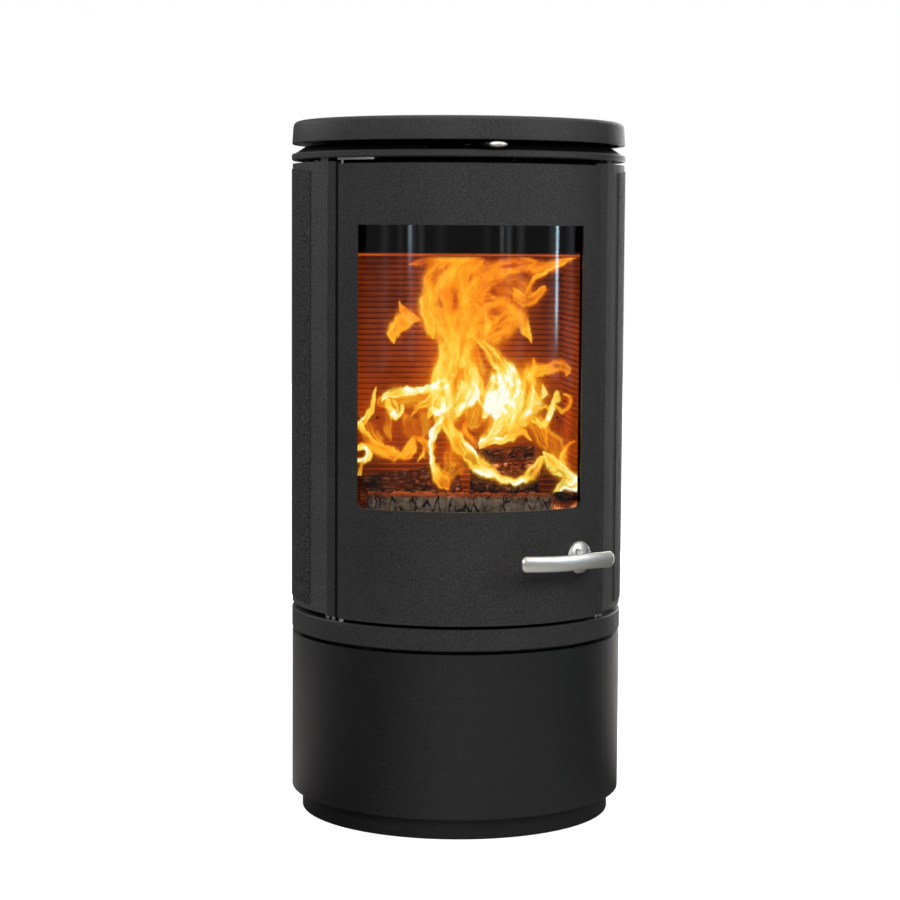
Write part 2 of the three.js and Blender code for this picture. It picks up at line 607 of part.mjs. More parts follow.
function addFirebox() {
  const foot = ringTop + FIT;
  const openHalf = OPENING_HALF_ANGLE + DRUM_SETBACK_ANGLE;
  add(stove, 'firebox_drum', wall(drumIn, drumOut, openHalf, 360 - openHalf, foot, crownFoot - FIT), STEEL);

  const half = PAN_HALF_WIDTH + PAN_SIDE_GAP;
  const mouth = CHAMBER_SETBACK - panFront;
  const walls = prism([
    [-half - SHEET, mouth], [-half, mouth], [-half, PAN_BACK + FIT], [half, PAN_BACK + FIT],
    [half, mouth], [half + SHEET, mouth], [half + SHEET, PAN_BACK + SHEET], [-half - SHEET, PAN_BACK + SHEET],
  ], foot, hearthUnderside - FIT);
  const shelf = block(
    -half - WELD, half + WELD, mouth, PAN_BACK + WELD, openingFoot - SHEET, openingFoot);
  add(stove, 'ash_chamber', walls.add(shelf), STEEL);

  const lip = GRATE_LEDGE + FIT;
  const seat = hearth - GRATE_THICKNESS - FIT;
  const recess = (inset, from) => block(inset - GRATE_HALF_WIDTH, GRATE_HALF_WIDTH - inset,
    inset - GRATE_FRONT, GRATE_BACK - inset, from, hearth + CUT);
  const floor = disc(drumIn - FIT, hearthUnderside, hearth)
    .subtract(recess(-FIT, seat)).subtract(recess(lip, hearthUnderside - CUT));
  add(stove, 'hearth_plate', floor, STEEL);

  const pitch = (2 * GRATE_HALF_WIDTH - GRATE_BAR) / GRATE_SLOTS;
  const front = GRATE_BAR - GRATE_FRONT;
  const slots = Array.from({ length: GRATE_SLOTS }, (_, i) => {
    const from = GRATE_BAR - GRATE_HALF_WIDTH + pitch * i;
    return block(from, from + pitch - GRATE_BAR, front, GRATE_BACK - GRATE_BAR, seat, hearth + CUT);
  });
  const plate = block(
    -GRATE_HALF_WIDTH, GRATE_HALF_WIDTH, -GRATE_FRONT, GRATE_BACK, hearth - GRATE_THICKNESS, hearth);
  add(stove, 'grate', plate.subtract(joined(slots)), DARK);

  add(stove, 'log_retainer', wall(
    retainerRadius - RETAINER_WALL, retainerRadius, -RETAINER_HALF_ANGLE, RETAINER_HALF_ANGLE,
    linerFoot, linerFoot + RETAINER_HEIGHT), DARK);

  const baffleFoot = linerTop + FIT;
  const halfWidth = linerHalfWidth;
  const archRadius = (halfWidth ** 2 + BAFFLE_ARCH ** 2) / (2 * BAFFLE_ARCH);
  const archAngle = THREE.MathUtils.radToDeg(Math.asin(halfWidth / archRadius));
  const arch = curve(0, BAFFLE_ARCH - LINER_REACH - archRadius, archRadius,
    90 + archAngle, 90 - archAngle, BAFFLE_FACETS);
  const outline = [...arch, [halfWidth, LINER_REACH], [-halfWidth, LINER_REACH]];
  add(stove, 'baffle_plate', prism(outline, baffleFoot, baffleFoot + BAFFLE_THICKNESS), STEEL);

  const deflectorOut = drumIn - DEFLECTOR_GAP;
  add(stove, 'air_wash_deflector', wall(deflectorOut - DEFLECTOR_WALL, deflectorOut,
    -DEFLECTOR_HALF_ANGLE, DEFLECTOR_HALF_ANGLE, windowTop + EDGE, crownFoot - FIT), STEEL);
}

// The two air ports beside the pivot's centre line, seen from the pivot.
function airPorts(from, to) {
  return both((side) => wall(SHUTTER_PORT_IN, SHUTTER_PORT_OUT,
    side * SHUTTER_PORT_FROM, side * SHUTTER_PORT_TO, from, to).translate([0, -airPivotY, 0]));
}

function addCrown() {
  const below = crownFoot - CUT;
  const above = crownTop + CUT;
  const plate = disc(drumOut, crownFoot, crownTop)
    .subtract(pin(FLUE_RADIUS - FLUE_WALL, below, above, undefined, FLUE_FACETS))
    .subtract(joined(airPorts(below, above)))
    .subtract(pin(AIR_SCREW_RADIUS + FIT, below, above, new THREE.Vector2(0, -airPivotY)));
  add(stove, 'crown_plate', plate, STEEL);

  const foot = crownTop + FIT;
  const bore = FLUE_RADIUS - FLUE_WALL;
  const flange = FLUE_RADIUS + FLUE_FLANGE;
  const flangeTop = foot + FLUE_FLANGE_THICKNESS;
  add(stove, 'flue_collar', turned([
    [bore, foot], [flange, foot], [flange, flangeTop], [FLUE_RADIUS, flangeTop],
    [FLUE_RADIUS, foot + FLUE_HEIGHT], [bore, foot + FLUE_HEIGHT],
  ], FLUE_FACETS), STEEL);
}

// ---------- logs ----------
// A split log along X. Its uneven cross-section is in shares of its thickness, and its length, place
// and lift are in shares of the room between the liners, its middle line so far behind the front
// log's back. It gets thinner towards +X. Turned in plan, and tilted with its +X end up.
function addLog(name, finish, outline, {
  thickness, length, x, behind, turn = 0, tilt = 0, lift = 0, taper = LOG_TAPER,
}) {
  const size = thickness * LINER_REACH;
  const long = length * linerHalfWidth;
  const shape = new THREE.Shape(outline.map(([u, v]) => new THREE.Vector2(u * size, v * size)));
  const log = new THREE.ExtrudeGeometry(shape, { depth: long, steps: 2, bevelEnabled: false });
  const place = log.attributes.position;
  for (let i = 0; i < place.count; i += 1) {
    const scale = 1 - taper * place.getZ(i) / long;
    place.setXY(i, place.getX(i) * scale, place.getY(i) * scale);
  }
  log.rotateZ(Math.PI / 2).rotateY(Math.PI / 2).translate(-long / 2, 0, 0)
    .rotateY(-THREE.MathUtils.degToRad(tilt));
  const at = new THREE.Vector3(
    x * linerHalfWidth, behind * LINER_REACH - frontLogBack, linerFoot + lift * LINER_REACH);
  add(stove, name, solid(log), finish, at, turn);
}

function addLogs() {
  const halved = [
    [-0.45, 0], [0.4, 0], [HALVED_BACK_SHARE, 0.4], [0.34, 0.8], [-0.1, 1], [-HALVED_FACE_SHARE, 0.92],
  ];
  const wedge = [[-0.46, 0], [0.42, 0], [0.53, 0.42], [0.3, 0.87], [-0.18, 1], [-0.5, 0.56]];
  const slab = [[-1.1, 0], [1.05, 0], [1.2, 0.5], [0.7, 1], [-0.6, 0.96], [-1.2, 0.45]];
  addLog('log_front', BARK, halved, {
    thickness: FRONT_LOG_SHARE, length: 1.48, x: -0.05, behind: -HALVED_BACK_SHARE * FRONT_LOG_SHARE,
  });
  addLog('log_left', CHARRED, wedge, {
    thickness: 0.66, length: 0.887, x: -0.456, behind: 0.515, turn: 14, taper: -0.2,
  });
  addLog('log_right', CHARRED, halved, {
    thickness: 0.75, length: 0.577, x: 0.38, behind: 0.505, turn: -6, taper: -0.122,
  });
  addLog('log_upper', CHARRED, slab, {
    thickness: 0.21, length: 0.621, x: 0.33, behind: 0.435, turn: -6, tilt: 6, lift: 0.7925, taper: 0.15,
  });
  addLog('log_stub', CHARRED, halved, { thickness: 0.5, length: 0.2, x: 0.836, behind: -0.005 });
}

// ---------- door ----------
// The window's sides run straight back from the door's face, so that none of the wall shows in it.
function windowCut() {
  const half = WINDOW_HALF_ANGLE;
  const inner = flangeIn;
  const outer = BODY_RADIUS + CUT;
  const side = polar(BODY_RADIUS, half);
  const cut = wall(inner, outer, -half, half, windowFoot, windowTop)
    .add(block(-side.x, side.x, side.y, -inner * Math.cos(THREE.MathUtils.degToRad(half)),
      windowFoot + WINDOW_CORNER, windowTop));
  const corners = both((side) =>
    outward(cornerWaste(WINDOW_CORNER, inner - CUT, outer + CUT, -side, 1), side * half, windowFoot));
  return cut.subtract(joined(corners));
}

// A flat ring that follows the door's curve, between two sets of half angle, foot and top.
function frameRing(inner, outer, [half, from, to], edgeAngle, edge) {
  const hole = wall(inner - CUT, outer + CUT, edgeAngle - half, half - edgeAngle, from + edge, to - edge);
  return wall(inner, outer, -half, half, from, to).subtract(hole);
}

function addDoor() {
  const flangeHalf = DOOR_HALF_ANGLE - FLANGE_EDGE_ANGLE;
  const flangeHoleHalf = flangeHalf - FLANGE_ANGLE;
  const shell = wall(doorWallIn, BODY_RADIUS, -DOOR_HALF_ANGLE, DOOR_HALF_ANGLE, doorFoot, doorTop);
  const flangeFoot = doorFoot + FLANGE_EDGE;
  const flangeTop = doorTop - FLANGE_EDGE;
  const flange = frameRing(
    flangeIn, doorWallIn + WELD, [flangeHalf, flangeFoot, flangeTop], FLANGE_ANGLE, FLANGE_WIDTH);
  const shelfFoot = windowFoot - GLASS_LAP - FIT;
  const shelfTop = windowTop + GLASS_LAP + FIT;
  const shelves = [[shelfFoot - DOOR_WALL, shelfFoot], [shelfTop, shelfTop + DOOR_WALL]].map(([from, to]) =>
    wall(flangeIn, doorWallIn + WELD, -flangeHoleHalf - WELD, flangeHoleHalf + WELD, from, to));
  const bosses = [doorFoot, doorTop - HINGE_BOSS_HEIGHT].map((from) =>
    pin(HINGE_BOSS_RADIUS, from, from + HINGE_BOSS_HEIGHT, hinge));
  const depth = HINGE_PIN_LENGTH + FIT;
  const bores = [[doorFoot - CUT, doorFoot + depth], [doorTop - depth, doorTop + CUT]]
    .map(([from, to]) => pin(HINGE_PIN_RADIUS + FIT, from, to, hinge));
  const through = pin(SPINDLE_RADIUS + FIT, doorWallIn - CUT, BODY_RADIUS + CUT);
  const spindleBore = outward(through, HANDLE_ANGLE, handleHeight);
  const hookSlot = wall(flangeIn - CUT, doorWallIn - FIT, flangeHoleHalf - CUT, flangeHalf + CUT,
    handleHeight - LATCH_SWING - 2 * CAM_HALF_HEIGHT, handleHeight + CAM_HALF_HEIGHT + SHEET);
  const casting = shell.subtract(windowCut()).add(flange).add(joined(shelves)).add(joined(bosses))
    .subtract(joined(bores)).subtract(spindleBore).subtract(hookSlot);
  add(door, 'door_casting', casting, CAST);

  const gasketOut = doorWallIn - FIT;
  const glassOut = gasketOut - GASKET - FIT;
  const glassIn = glassOut - GLASS_WALL;
  const gasketLap = GLASS_LAP - GASKET_SETBACK;
  const gasketHalf = WINDOW_HALF_ANGLE + GLASS_LAP_ANGLE - GASKET_SETBACK_ANGLE;
  add(door, 'glass_gasket', frameRing(gasketOut - GASKET, gasketOut,
    [gasketHalf, windowFoot - gasketLap, windowTop + gasketLap], GASKET_ANGLE, GASKET_WIDTH), ROPE);
  const glassHalf = WINDOW_HALF_ANGLE + GLASS_LAP_ANGLE;
  const glass = wall(glassIn, glassOut, -glassHalf, glassHalf, windowFoot - GLASS_LAP, windowTop + GLASS_LAP);
  add(door, 'door_glass', glass, GLASS);

  const clipOut = glassIn - FIT;
  const clip = (side) => wall(clipOut - CLIP_WALL, clipOut, side * (WINDOW_HALF_ANGLE + CLIP_LAP_ANGLE),
    side * (flangeHoleHalf - SEAM), -CLIP_HEIGHT / 2, CLIP_HEIGHT / 2);
  [windowFoot + CLIP_INSET, windowTop - CLIP_INSET].forEach((height, row) => {
    for (const side of [-1, 1]) {
      const name = `${row === 0 ? 'lower' : 'upper'}_${side < 0 ? 'left' : 'right'}_glass_clip`;
      add(door, name, clip(side), ZINC, new THREE.Vector3(0, 0, height));
    }
  });

  const sealSpan = [flangeHalf - SEAL_SETBACK_ANGLE, flangeFoot + SEAL_SETBACK, flangeTop - SEAL_SETBACK];
  const seal = frameRing(sealIn, sealOut, sealSpan, SEAL_ANGLE, SEAL_WIDTH);
  add(door, 'door_seal', seal, ROPE);
}

function addHinge() {
  const plateTop = rimFoot - FIT;
  const plateFoot = plateTop - HINGE_PLATE;
  const plateOut = BODY_RADIUS - HINGE_PLATE_INSET;
  const from = -DOOR_HALF_ANGLE - HINGE_PLATE_LAP_ANGLE;
  const plateIn = plateOut - HINGE_PLATE_DEPTH;
  const plate = wall(plateIn, plateOut, from, from + HINGE_PLATE_ANGLE, plateFoot, plateTop)
    .subtract(pin(HINGE_PIN_RADIUS + FIT, plateFoot - CUT, plateTop + CUT, hinge));
  add(stove, 'upper_hinge_plate', plate, ZINC);
  const at = new THREE.Vector3(hinge.x, hinge.y, 0);
  add(stove, 'upper_hinge_pin', pin(HINGE_PIN_RADIUS, doorTop - HINGE_PIN_LENGTH, plateTop), ZINC, at);
  const bush = sleeve(HINGE_PIN_RADIUS + FIT, HINGE_BUSH_RADIUS, ringTop + FIT, doorFoot - FIT);
  add(stove, 'lower_hinge_bush', bush, ZINC, at);
  const lowerPin = pin(HINGE_PIN_RADIUS, ringTop - RING_FLOOR, doorFoot + HINGE_PIN_LENGTH);
  add(stove, 'lower_hinge_pin', lowerPin, ZINC, at);
}

// ---------- handle and latch ----------
function leverBar() {
  const inner = BODY_RADIUS + LEVER_STANDOFF;
  const outer = inner + LEVER_THICKNESS;
  const half = LEVER_HEIGHT / 2;
  const free = THREE.MathUtils.radToDeg(-LEVER_FREE_LENGTH / inner);
  const tail = THREE.MathUtils.radToDeg(LEVER_TAIL_LENGTH / inner);
  const bar = wall(inner, outer, free, tail, -half, half);
  const waste = [[free, 1], [tail, -1]].flatMap(([angle, signX]) =>
    both((signY) => outward(
      cornerWaste(LEVER_CORNER, inner - CUT, outer + CUT, signX, -signY), angle, signY * half)));
  const near = -LEVER_GROOVE_INSET;
  const far = near - LEVER_GROOVE_WIDTH;
  const reach = half - LEVER_GROOVE_INSET;
  const round = reach / 2;
  const groove = prism([
    [far, -reach], ...curve(near - round, round - reach, round, -90, 0, 4),
    ...curve(near - round, reach - round, round, 0, 90, 4), [far, reach],
  ].filter(([x]) => x >= far), outer - LEVER_GROOVE_DEPTH, outer + CUT);
  return bar.subtract(joined(waste)).subtract(outward(groove, tail, 0));
}

function addHandle() {
  const seat = BODY_RADIUS + FIT;
  const lip = SPINDLE_RADIUS + FIT;
  const screws = [ROSETTE_SCREW_ANGLE - 180, ROSETTE_SCREW_ANGLE]
    .map((turn) => polar(ROSETTE_SCREW_OFFSET, turn));
  const rosette = turned([
    [lip, seat], ...curve(0, seat, 1, 0, 90, ROSETTE_RINGS).map(([across, up]) =>
      [across * ROSETTE_RADIUS, seat + (up - seat) * ROSETTE_HEIGHT]).filter(([across]) => across > lip),
    [lip, seat + ROSETTE_HEIGHT],
  ], ROSETTE_FACETS);
  const wellFoot = seat + ROSETTE_SCREW_DEPTH;
  const wellTop = seat + ROSETTE_HEIGHT + CUT;
  const wells = screws.map((at) => pin(ROSETTE_SCREW_RADIUS + FIT, wellFoot, wellTop, at));
  add(door, 'handle_rosette', outward(rosette.subtract(joined(wells)), HANDLE_ANGLE, handleHeight), BRUSHED);
  screws.forEach((at, i) => {
    const screw = pin(ROSETTE_SCREW_RADIUS, wellFoot + FIT, seat + ROSETTE_HEIGHT - FIT, at);
    add(door, `rosette_screw_${i + 1}`, outward(screw, HANDLE_ANGLE, handleHeight), BRUSHED);
  });

  const lever = leverBar().rotate([0, LEVER_TILT, 0]).rotate([0, 0, HANDLE_ANGLE]);
  add(handle, 'handle_lever', lever.translate([0, 0, handleHeight]), BRUSHED);

  const camOut = doorWallIn - CAM_GAP;
  const camIn = camOut - CAM_THICKNESS;
  const nutOut = camIn - FIT;
  const spindle = pin(SPINDLE_RADIUS, camIn, BODY_RADIUS + LEVER_STANDOFF - 2 * FIT)
    .add(pin(THREAD_RADIUS, nutOut - NUT_HEIGHT - THREAD_REST, camOut));
  add(handle, 'handle_spindle', outward(spindle, HANDLE_ANGLE, handleHeight), BRUSHED);
  const hub = curve(0, 0, CAM_HUB_RADIUS, CAM_HUB_ANGLE, 360 - CAM_HUB_ANGLE, CAM_HUB_FACETS);
  const hook = prism([...hub, [CAM_REACH, -CAM_HALF_HEIGHT], [CAM_REACH, CAM_HALF_HEIGHT]], camIn, camOut)
    .subtract(pin(SPINDLE_RADIUS + FIT, camIn - CUT, camOut + CUT));
  add(handle, 'latch_hook', outward(hook, HANDLE_ANGLE, handleHeight), STEEL);
  const nut = pin(NUT_RADIUS, nutOut - NUT_HEIGHT, nutOut, undefined, 6)
    .subtract(pin(THREAD_RADIUS + FIT, nutOut - NUT_HEIGHT - CUT, nutOut + CUT));
  add(handle, 'spindle_nut', outward(nut, HANDLE_ANGLE, handleHeight), ZINC);

  const keeperTo = DOOR_HALF_ANGLE - DOOR_SIDE_GAP / 2;
  add(stove, 'latch_keeper', wall(frameOut + FIT, camOut, keeperTo - KEEPER_ANGLE, keeperTo,
    handleHeight - CAM_HUB_RADIUS, handleHeight + CAM_HUB_RADIUS), ZINC);
}

// ---------- air control ----------
// The rod from the pivot out through the collar, turned along the rim at its end to take the knob.
function airRod(radius, reach, height) {
  const leave = polar(BODY_RADIUS - COLLAR_FOOT_INSET, AIR_ROD_ANGLE);
  const knob = polar(BODY_RADIUS + AIR_KNOB_STANDOFF, AIR_KNOB_ANGLE);
  const along = polar(1, AIR_KNOB_ANGLE + 90);
  const end = knob.clone().addScaledVector(along, reach - AIR_KNOB_SIZE.x);
  const bend = knob.clone().addScaledVector(along, -AIR_KNOB_SIZE.x - AIR_ROD_RADIUS);
  const start = new THREE.Vector2(0, -airPivotY).lerp(leave, AIR_ROD_START);
  const corners = [start, start.clone().lerp(leave, AIR_ROD_STRAIGHT), leave, bend, end];
  const path = new THREE.CatmullRomCurve3(corners.map((p) => new THREE.Vector3(p.x, p.y, height)));
  const last = 360 - 360 / AIR_ROD_FACETS;
  const section = new THREE.Shape(curve(0, 0, radius, 0, last, AIR_ROD_FACETS - 1).map(vector));
  return solid(new THREE.ExtrudeGeometry(section, { extrudePath: path, steps: AIR_ROD_STEPS }));
}

function addAirControl() {
  const pivot = new THREE.Vector2(0, -airPivotY);
  const height = (rimTop + topFoot) / 2 + FIT;
  const shutterFoot = crownTop + FIT;
  const shutterTop = shutterFoot + SHUTTER_THICKNESS;
  const eyeFoot = height - AIR_ROD_RADIUS;
  const eyeTop = height + AIR_ROD_RADIUS;
  const bore = pin(AIR_SCREW_RADIUS + FIT, shutterFoot - CUT, eyeTop + CUT, pivot);

  const fan = prism([...arc(SHUTTER_RADIUS, -SHUTTER_HALF_ANGLE, SHUTTER_HALF_ANGLE),
    ...arc(AIR_EYE_RADIUS - WELD, SHUTTER_HALF_ANGLE, -SHUTTER_HALF_ANGLE)], shutterFoot, shutterTop)
    .translate([pivot.x, pivot.y, 0]);
  const hub = pin(AIR_EYE_RADIUS, shutterFoot, eyeFoot - FIT, pivot);
  const ports = joined(airPorts(shutterFoot - CUT, shutterTop + CUT));
  const shutter = fan.add(hub).subtract(bore).subtract(ports);
  add(airControl, 'air_shutter', shutter, STEEL);

  const eye = pin(AIR_EYE_RADIUS, eyeFoot, eyeTop, pivot);
  const lever = airRod(AIR_ROD_RADIUS, AIR_ROD_REACH, height).add(eye).subtract(bore);
  add(airControl, 'air_lever', lever, DARK);

  const ball = new THREE.SphereGeometry(1, 2 * AIR_KNOB_FACETS, AIR_KNOB_FACETS).rotateX(Math.PI / 2);
  const knobAt = polar(BODY_RADIUS + AIR_KNOB_STANDOFF, AIR_KNOB_ANGLE);
  const knob = solid(ball.scale(AIR_KNOB_SIZE.x, AIR_KNOB_SIZE.y, AIR_KNOB_SIZE.z))
    .rotate([0, 0, AIR_KNOB_ANGLE]).translate([knobAt.x, knobAt.y, height])
    .subtract(airRod(AIR_ROD_RADIUS + FIT, AIR_ROD_REACH + FIT, height));
  add(airControl, 'air_knob', knob, BRUSHED);

  const screw = pin(AIR_SCREW_RADIUS, crownFoot, eyeTop + FIT + AIR_HEAD_HEIGHT, pivot)
    .add(pin(AIR_HEAD_RADIUS, eyeTop + FIT, eyeTop + FIT + AIR_HEAD_HEIGHT, pivot));
  add(stove, 'air_pivot_screw', screw, ZINC);
}

// ---------- top plate and flue cover ----------
function addTop() {
  const round = TOP_WALL;
  const shoulder = topRadius - TOP_TAPER;
  const skirtIn = topRadius - TOP_WALL;
  const seat = topFace - COVER_THICKNESS - FIT;
  const plate = turned([
    [COVER_RADIUS, topFace], ...curve(shoulder - round, topFace - round, round, 90, 0, TOP_EDGE_FACETS),
    [topRadius, topFoot], [skirtIn, topFoot], [skirtIn, topUnderside],
    [COVER_RADIUS - COVER_LEDGE, topUnderside],
    [COVER_RADIUS - COVER_LEDGE, seat], [COVER_RADIUS, seat],
  ]);
  add(stove, 'top_plate', plate, CAST);

  const coverRadius = COVER_RADIUS - 2 * FIT;
  const cover = turned([[0, seat + FIT], [coverRadius, seat + FIT], [coverRadius, topFace], [0, topFace]])
    .subtract(pin(COVER_NOTCH_RADIUS, seat, topFace + CUT, polar(coverRadius, 0)));
  add(flueCover, 'flue_cover', cover, CAST);
}

// ---------- ash pan ----------
function addAshPan() {
  const foot = openingFoot + FIT;
  const top = foot + PAN_HEIGHT;
  const tray = block(-PAN_HALF_WIDTH, PAN_HALF_WIDTH, -panFront, PAN_BACK, foot, top)
    .subtract(block(PAN_WALL - PAN_HALF_WIDTH, PAN_HALF_WIDTH - PAN_WALL,
      PAN_WALL - panFront, PAN_BACK - PAN_WALL, foot + PAN_WALL, top + CUT));
  const half = PAN_GRIP_WIDTH / 2;
  const root = WELD - panFront;
  const gripFront = -panFront - PAN_GRIP_REACH;
  const gripTop = top - PAN_WALL - PAN_GRIP_THICKNESS;
  const grip = prism([
    [-half, root], [-half, gripFront], [half, gripFront], [half, root], [half - SHEET, root],
    [half - SHEET, gripFront + SHEET], [SHEET - half, gripFront + SHEET], [SHEET - half, root],
  ], gripTop - PAN_GRIP_THICKNESS, gripTop);
  add(ashPan, 'ash_pan', tray.add(grip), STEEL);
}

addBase();
addFrame();
addPanels();
addRim();
addFirebox();
addLiners();
addCrown();
addLogs();
addDoor();
addHinge();
addHandle();
addAirControl();
addTop();
addAshPan();

export default stove;
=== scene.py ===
import json
import math

import bpy
import numpy as np
from mathutils import Matrix, Vector, noise


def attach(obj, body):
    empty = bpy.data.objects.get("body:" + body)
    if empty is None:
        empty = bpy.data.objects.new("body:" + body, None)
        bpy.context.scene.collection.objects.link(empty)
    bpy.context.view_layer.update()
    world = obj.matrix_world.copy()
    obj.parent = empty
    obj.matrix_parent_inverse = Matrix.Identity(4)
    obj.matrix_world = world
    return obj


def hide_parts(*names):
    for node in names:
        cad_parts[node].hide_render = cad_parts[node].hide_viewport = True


noise.seed_set(2)  # without a seed, noise_vector follows the clock

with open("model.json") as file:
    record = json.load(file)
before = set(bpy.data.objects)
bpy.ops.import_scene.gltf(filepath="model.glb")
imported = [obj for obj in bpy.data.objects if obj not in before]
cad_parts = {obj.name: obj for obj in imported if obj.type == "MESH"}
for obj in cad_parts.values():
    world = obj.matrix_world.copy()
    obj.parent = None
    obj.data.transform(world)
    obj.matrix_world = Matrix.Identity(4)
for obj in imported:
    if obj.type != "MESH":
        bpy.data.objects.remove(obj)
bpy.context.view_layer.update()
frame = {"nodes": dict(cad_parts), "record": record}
nodes = frame["nodes"]

# ------------------------------ camera
FRAME_PIXELS = 900
SENSOR = 36.0
FOCAL_PIXELS = 2363.3
DISTANCE = 3.108          # metres from the stove's axis to the lens, on the floor plan
EYE_HEIGHT = 0.75286
PITCH = 0.0902            # radians down
YAW = 0.00285
ROLL = 0.0064
TURN = math.radians(5.71)  # the stove's front is turned this far to the picture's right


def to_stove(v):
    """A vector of the camera's floor plan, in the stove's own frame."""
    c, s = math.cos(TURN), math.sin(TURN)
    return Vector((v[0] * c + v[1] * s, -v[0] * s + v[1] * c, v[2]))


def camera_axes():
    """The camera's right, up and forward, in the stove's frame."""
    ca, sa, cp, sp = math.cos(YAW), math.sin(YAW), math.cos(PITCH), math.sin(PITCH)
    forward = Vector((-sa * cp, ca * cp, -sp))
    right, up = Vector((ca, sa, 0)), Vector((-sa * sp, ca * sp, cp))
    rolled_right = right * math.cos(ROLL) + up * math.sin(ROLL)
    rolled_up = up * math.cos(ROLL) - right * math.sin(ROLL)
    return [to_stove(v) for v in (rolled_right, rolled_up, forward)]


EYE = to_stove((0, -DISTANCE, EYE_HEIGHT))
RIGHT, UP, FORWARD = camera_axes()


def placed(name, data):
    """A new object in the scene."""
    item = bpy.data.objects.new(name, data)
    bpy.context.scene.collection.objects.link(item)
    return item


def add_camera():
    data = bpy.data.cameras.new("camera")
    data.sensor_width = SENSOR
    data.lens = FOCAL_PIXELS / FRAME_PIXELS * SENSOR
    camera = placed("camera", data)
    axes = Matrix((RIGHT, UP, -FORWARD)).transposed()
    camera.matrix_world = Matrix.Translation(EYE) @ axes.to_4x4()
    bpy.context.scene.camera = camera


def seen_at(x, y, depth):
    """The point of the plane y = depth that the camera sees at pixel (x, y)."""
    middle = FRAME_PIXELS / 2
    ray = FORWARD * FOCAL_PIXELS + RIGHT * (x - middle) + UP * (middle - y)
    return EYE + ray * ((depth - EYE.y) / ray.y)


# ------------------------------ node materials
class Nodes:
    """Nodes and their arithmetic in one node tree."""

    def __init__(self, tree):
        self.tree = tree
        tree.nodes.clear()

    def add(self, kind, inputs=None, **settings):
        node = self.tree.nodes.new(kind)
        for key, value in settings.items():
            setattr(node, key, value)
        for key, value in (inputs or {}).items():
            self.put(node, key, value)
        return node

    def put(self, node, key, value):
        if isinstance(value, bpy.types.NodeSocket):
            self.tree.links.new(value, node.inputs[key])
        else:
            node.inputs[key].default_value = value

    def math(self, operation, first, second=0.0, **settings):
        return self.add("ShaderNodeMath", {0: first, 1: second}, operation=operation, **settings).outputs[0]

    def vector(self, operation, inputs, output="Vector"):
        return self.add("ShaderNodeVectorMath", inputs, operation=operation).outputs[output]

    def span(self, value, low, high, to_low=0.0, to_high=1.0, **settings):
        """Spreads the values from low to high over to_low to to_high, and holds them there beyond."""
        ends = {"Value": value, "From Min": low, "From Max": high, "To Min": to_low, "To Max": to_high}
        return self.add("ShaderNodeMapRange", ends, **settings).outputs[0]

    def mix(self, amount, first, second):
        node = self.add("ShaderNodeMix", data_type="RGBA")
        self.put(node, 0, amount)
        for index, colour in ((6, first), (7, second)):
            self.put(node, index, colour if isinstance(colour, bpy.types.NodeSocket) else (*colour, 1.0))
        return node.outputs[2]

    def bearing(self, x, y):
        """The direction round the z axis in radians: 0 towards -y, positive towards +x."""
        return self.math("ARCTAN2", x, self.math("MULTIPLY", y, -1.0))


class Shader(Nodes):
    """A node material round one Principled shader."""

    def __init__(self, name, **constants):
        self.material = bpy.data.materials.new(name)
        self.material.use_nodes = True
        super().__init__(self.material.node_tree)
        self.surface = self.add("ShaderNodeBsdfPrincipled")
        self.add("ShaderNodeOutputMaterial", {"Surface": self.surface.outputs[0]})
        for key, value in constants.items():
            self.feed(key.replace("_", " "), value)
        self.place = self.add("ShaderNodeTexCoord").outputs["Object"]

    def feed(self, key, value):
        self.put(self.surface, key, value)

    def axes(self, place=None):
        return self.add("ShaderNodeSeparateXYZ", {0: place or self.place}).outputs

    def stretched(self, scale, place=None):
        return self.add("ShaderNodeMapping", {"Vector": place or self.place, "Scale": scale}).outputs[0]

    def warped(self, scale, amount):
        """The object's coordinates, pushed about by noise."""
        push = self.add("ShaderNodeTexNoise", {"Vector": self.place, "Scale": scale, "Detail": 3.0}).outputs[1]
        centred = self.vector("SUBTRACT", {0: push, 1: (0.5, 0.5, 0.5)})
        return self.vector("ADD", {0: self.place, 1: self.vector("SCALE", {0: centred, "Scale": amount})})

    def cracks(self, cells, width, patch, open_from):
        """Thin cracks between warped cells, so many to a metre (x, y, z), broken up by a patchy noise."""
        place = self.stretched(cells, self.warped(70.0, 0.012))
        edge = self.add("ShaderNodeTexVoronoi", {"Vector": place, "Scale": 1.0},
                        feature="DISTANCE_TO_EDGE").outputs["Distance"]
        return self.math("MULTIPLY", self.span(edge, width * 0.35, width, 1.0, 0.0),
                         self.span(self.noise(patch, 2.0), open_from, open_from + 0.1))

    def noise(self, scale, detail=2.0, roughness=0.5, place=None):
        return self.add("ShaderNodeTexNoise", {"Vector": place or self.place, "Scale": scale,
                                               "Detail": detail, "Roughness": roughness}).outputs[0]

    def swing(self, value, to_low, to_high):
        """Spreads a noise, which is mostly between 0.3 and 0.7, over a range."""
        return self.span(value, 0.3, 0.7, to_low, to_high)

    def step(self, value, at, blend, to_low=0.0, to_high=1.0):
        return self.span(value, at - blend, at + blend, to_low, to_high)

    def ramp(self, value, stops):
        node = self.add("ShaderNodeValToRGB", {"Fac": value})
        elements = node.color_ramp.elements
        elements[0].position, elements[1].position = stops[0][0], stops[-1][0]
        for position, _ in stops[1:-1]:
            elements.new(position)
        for element, (_, colour) in zip(elements, stops):
            element.color = (*colour, 1.0)
        return node.outputs[0]

    def attribute(self, name):
        return self.add("ShaderNodeAttribute", attribute_name=name).outputs["Fac"]

    def bump(self, height, distance, strength=1.0, after=None):
        inputs = {"Height": height, "Distance": distance, "Strength": strength}
        if after is not None:
            inputs["Normal"] = after
        return self.add("ShaderNodeBump", inputs).outputs[0]


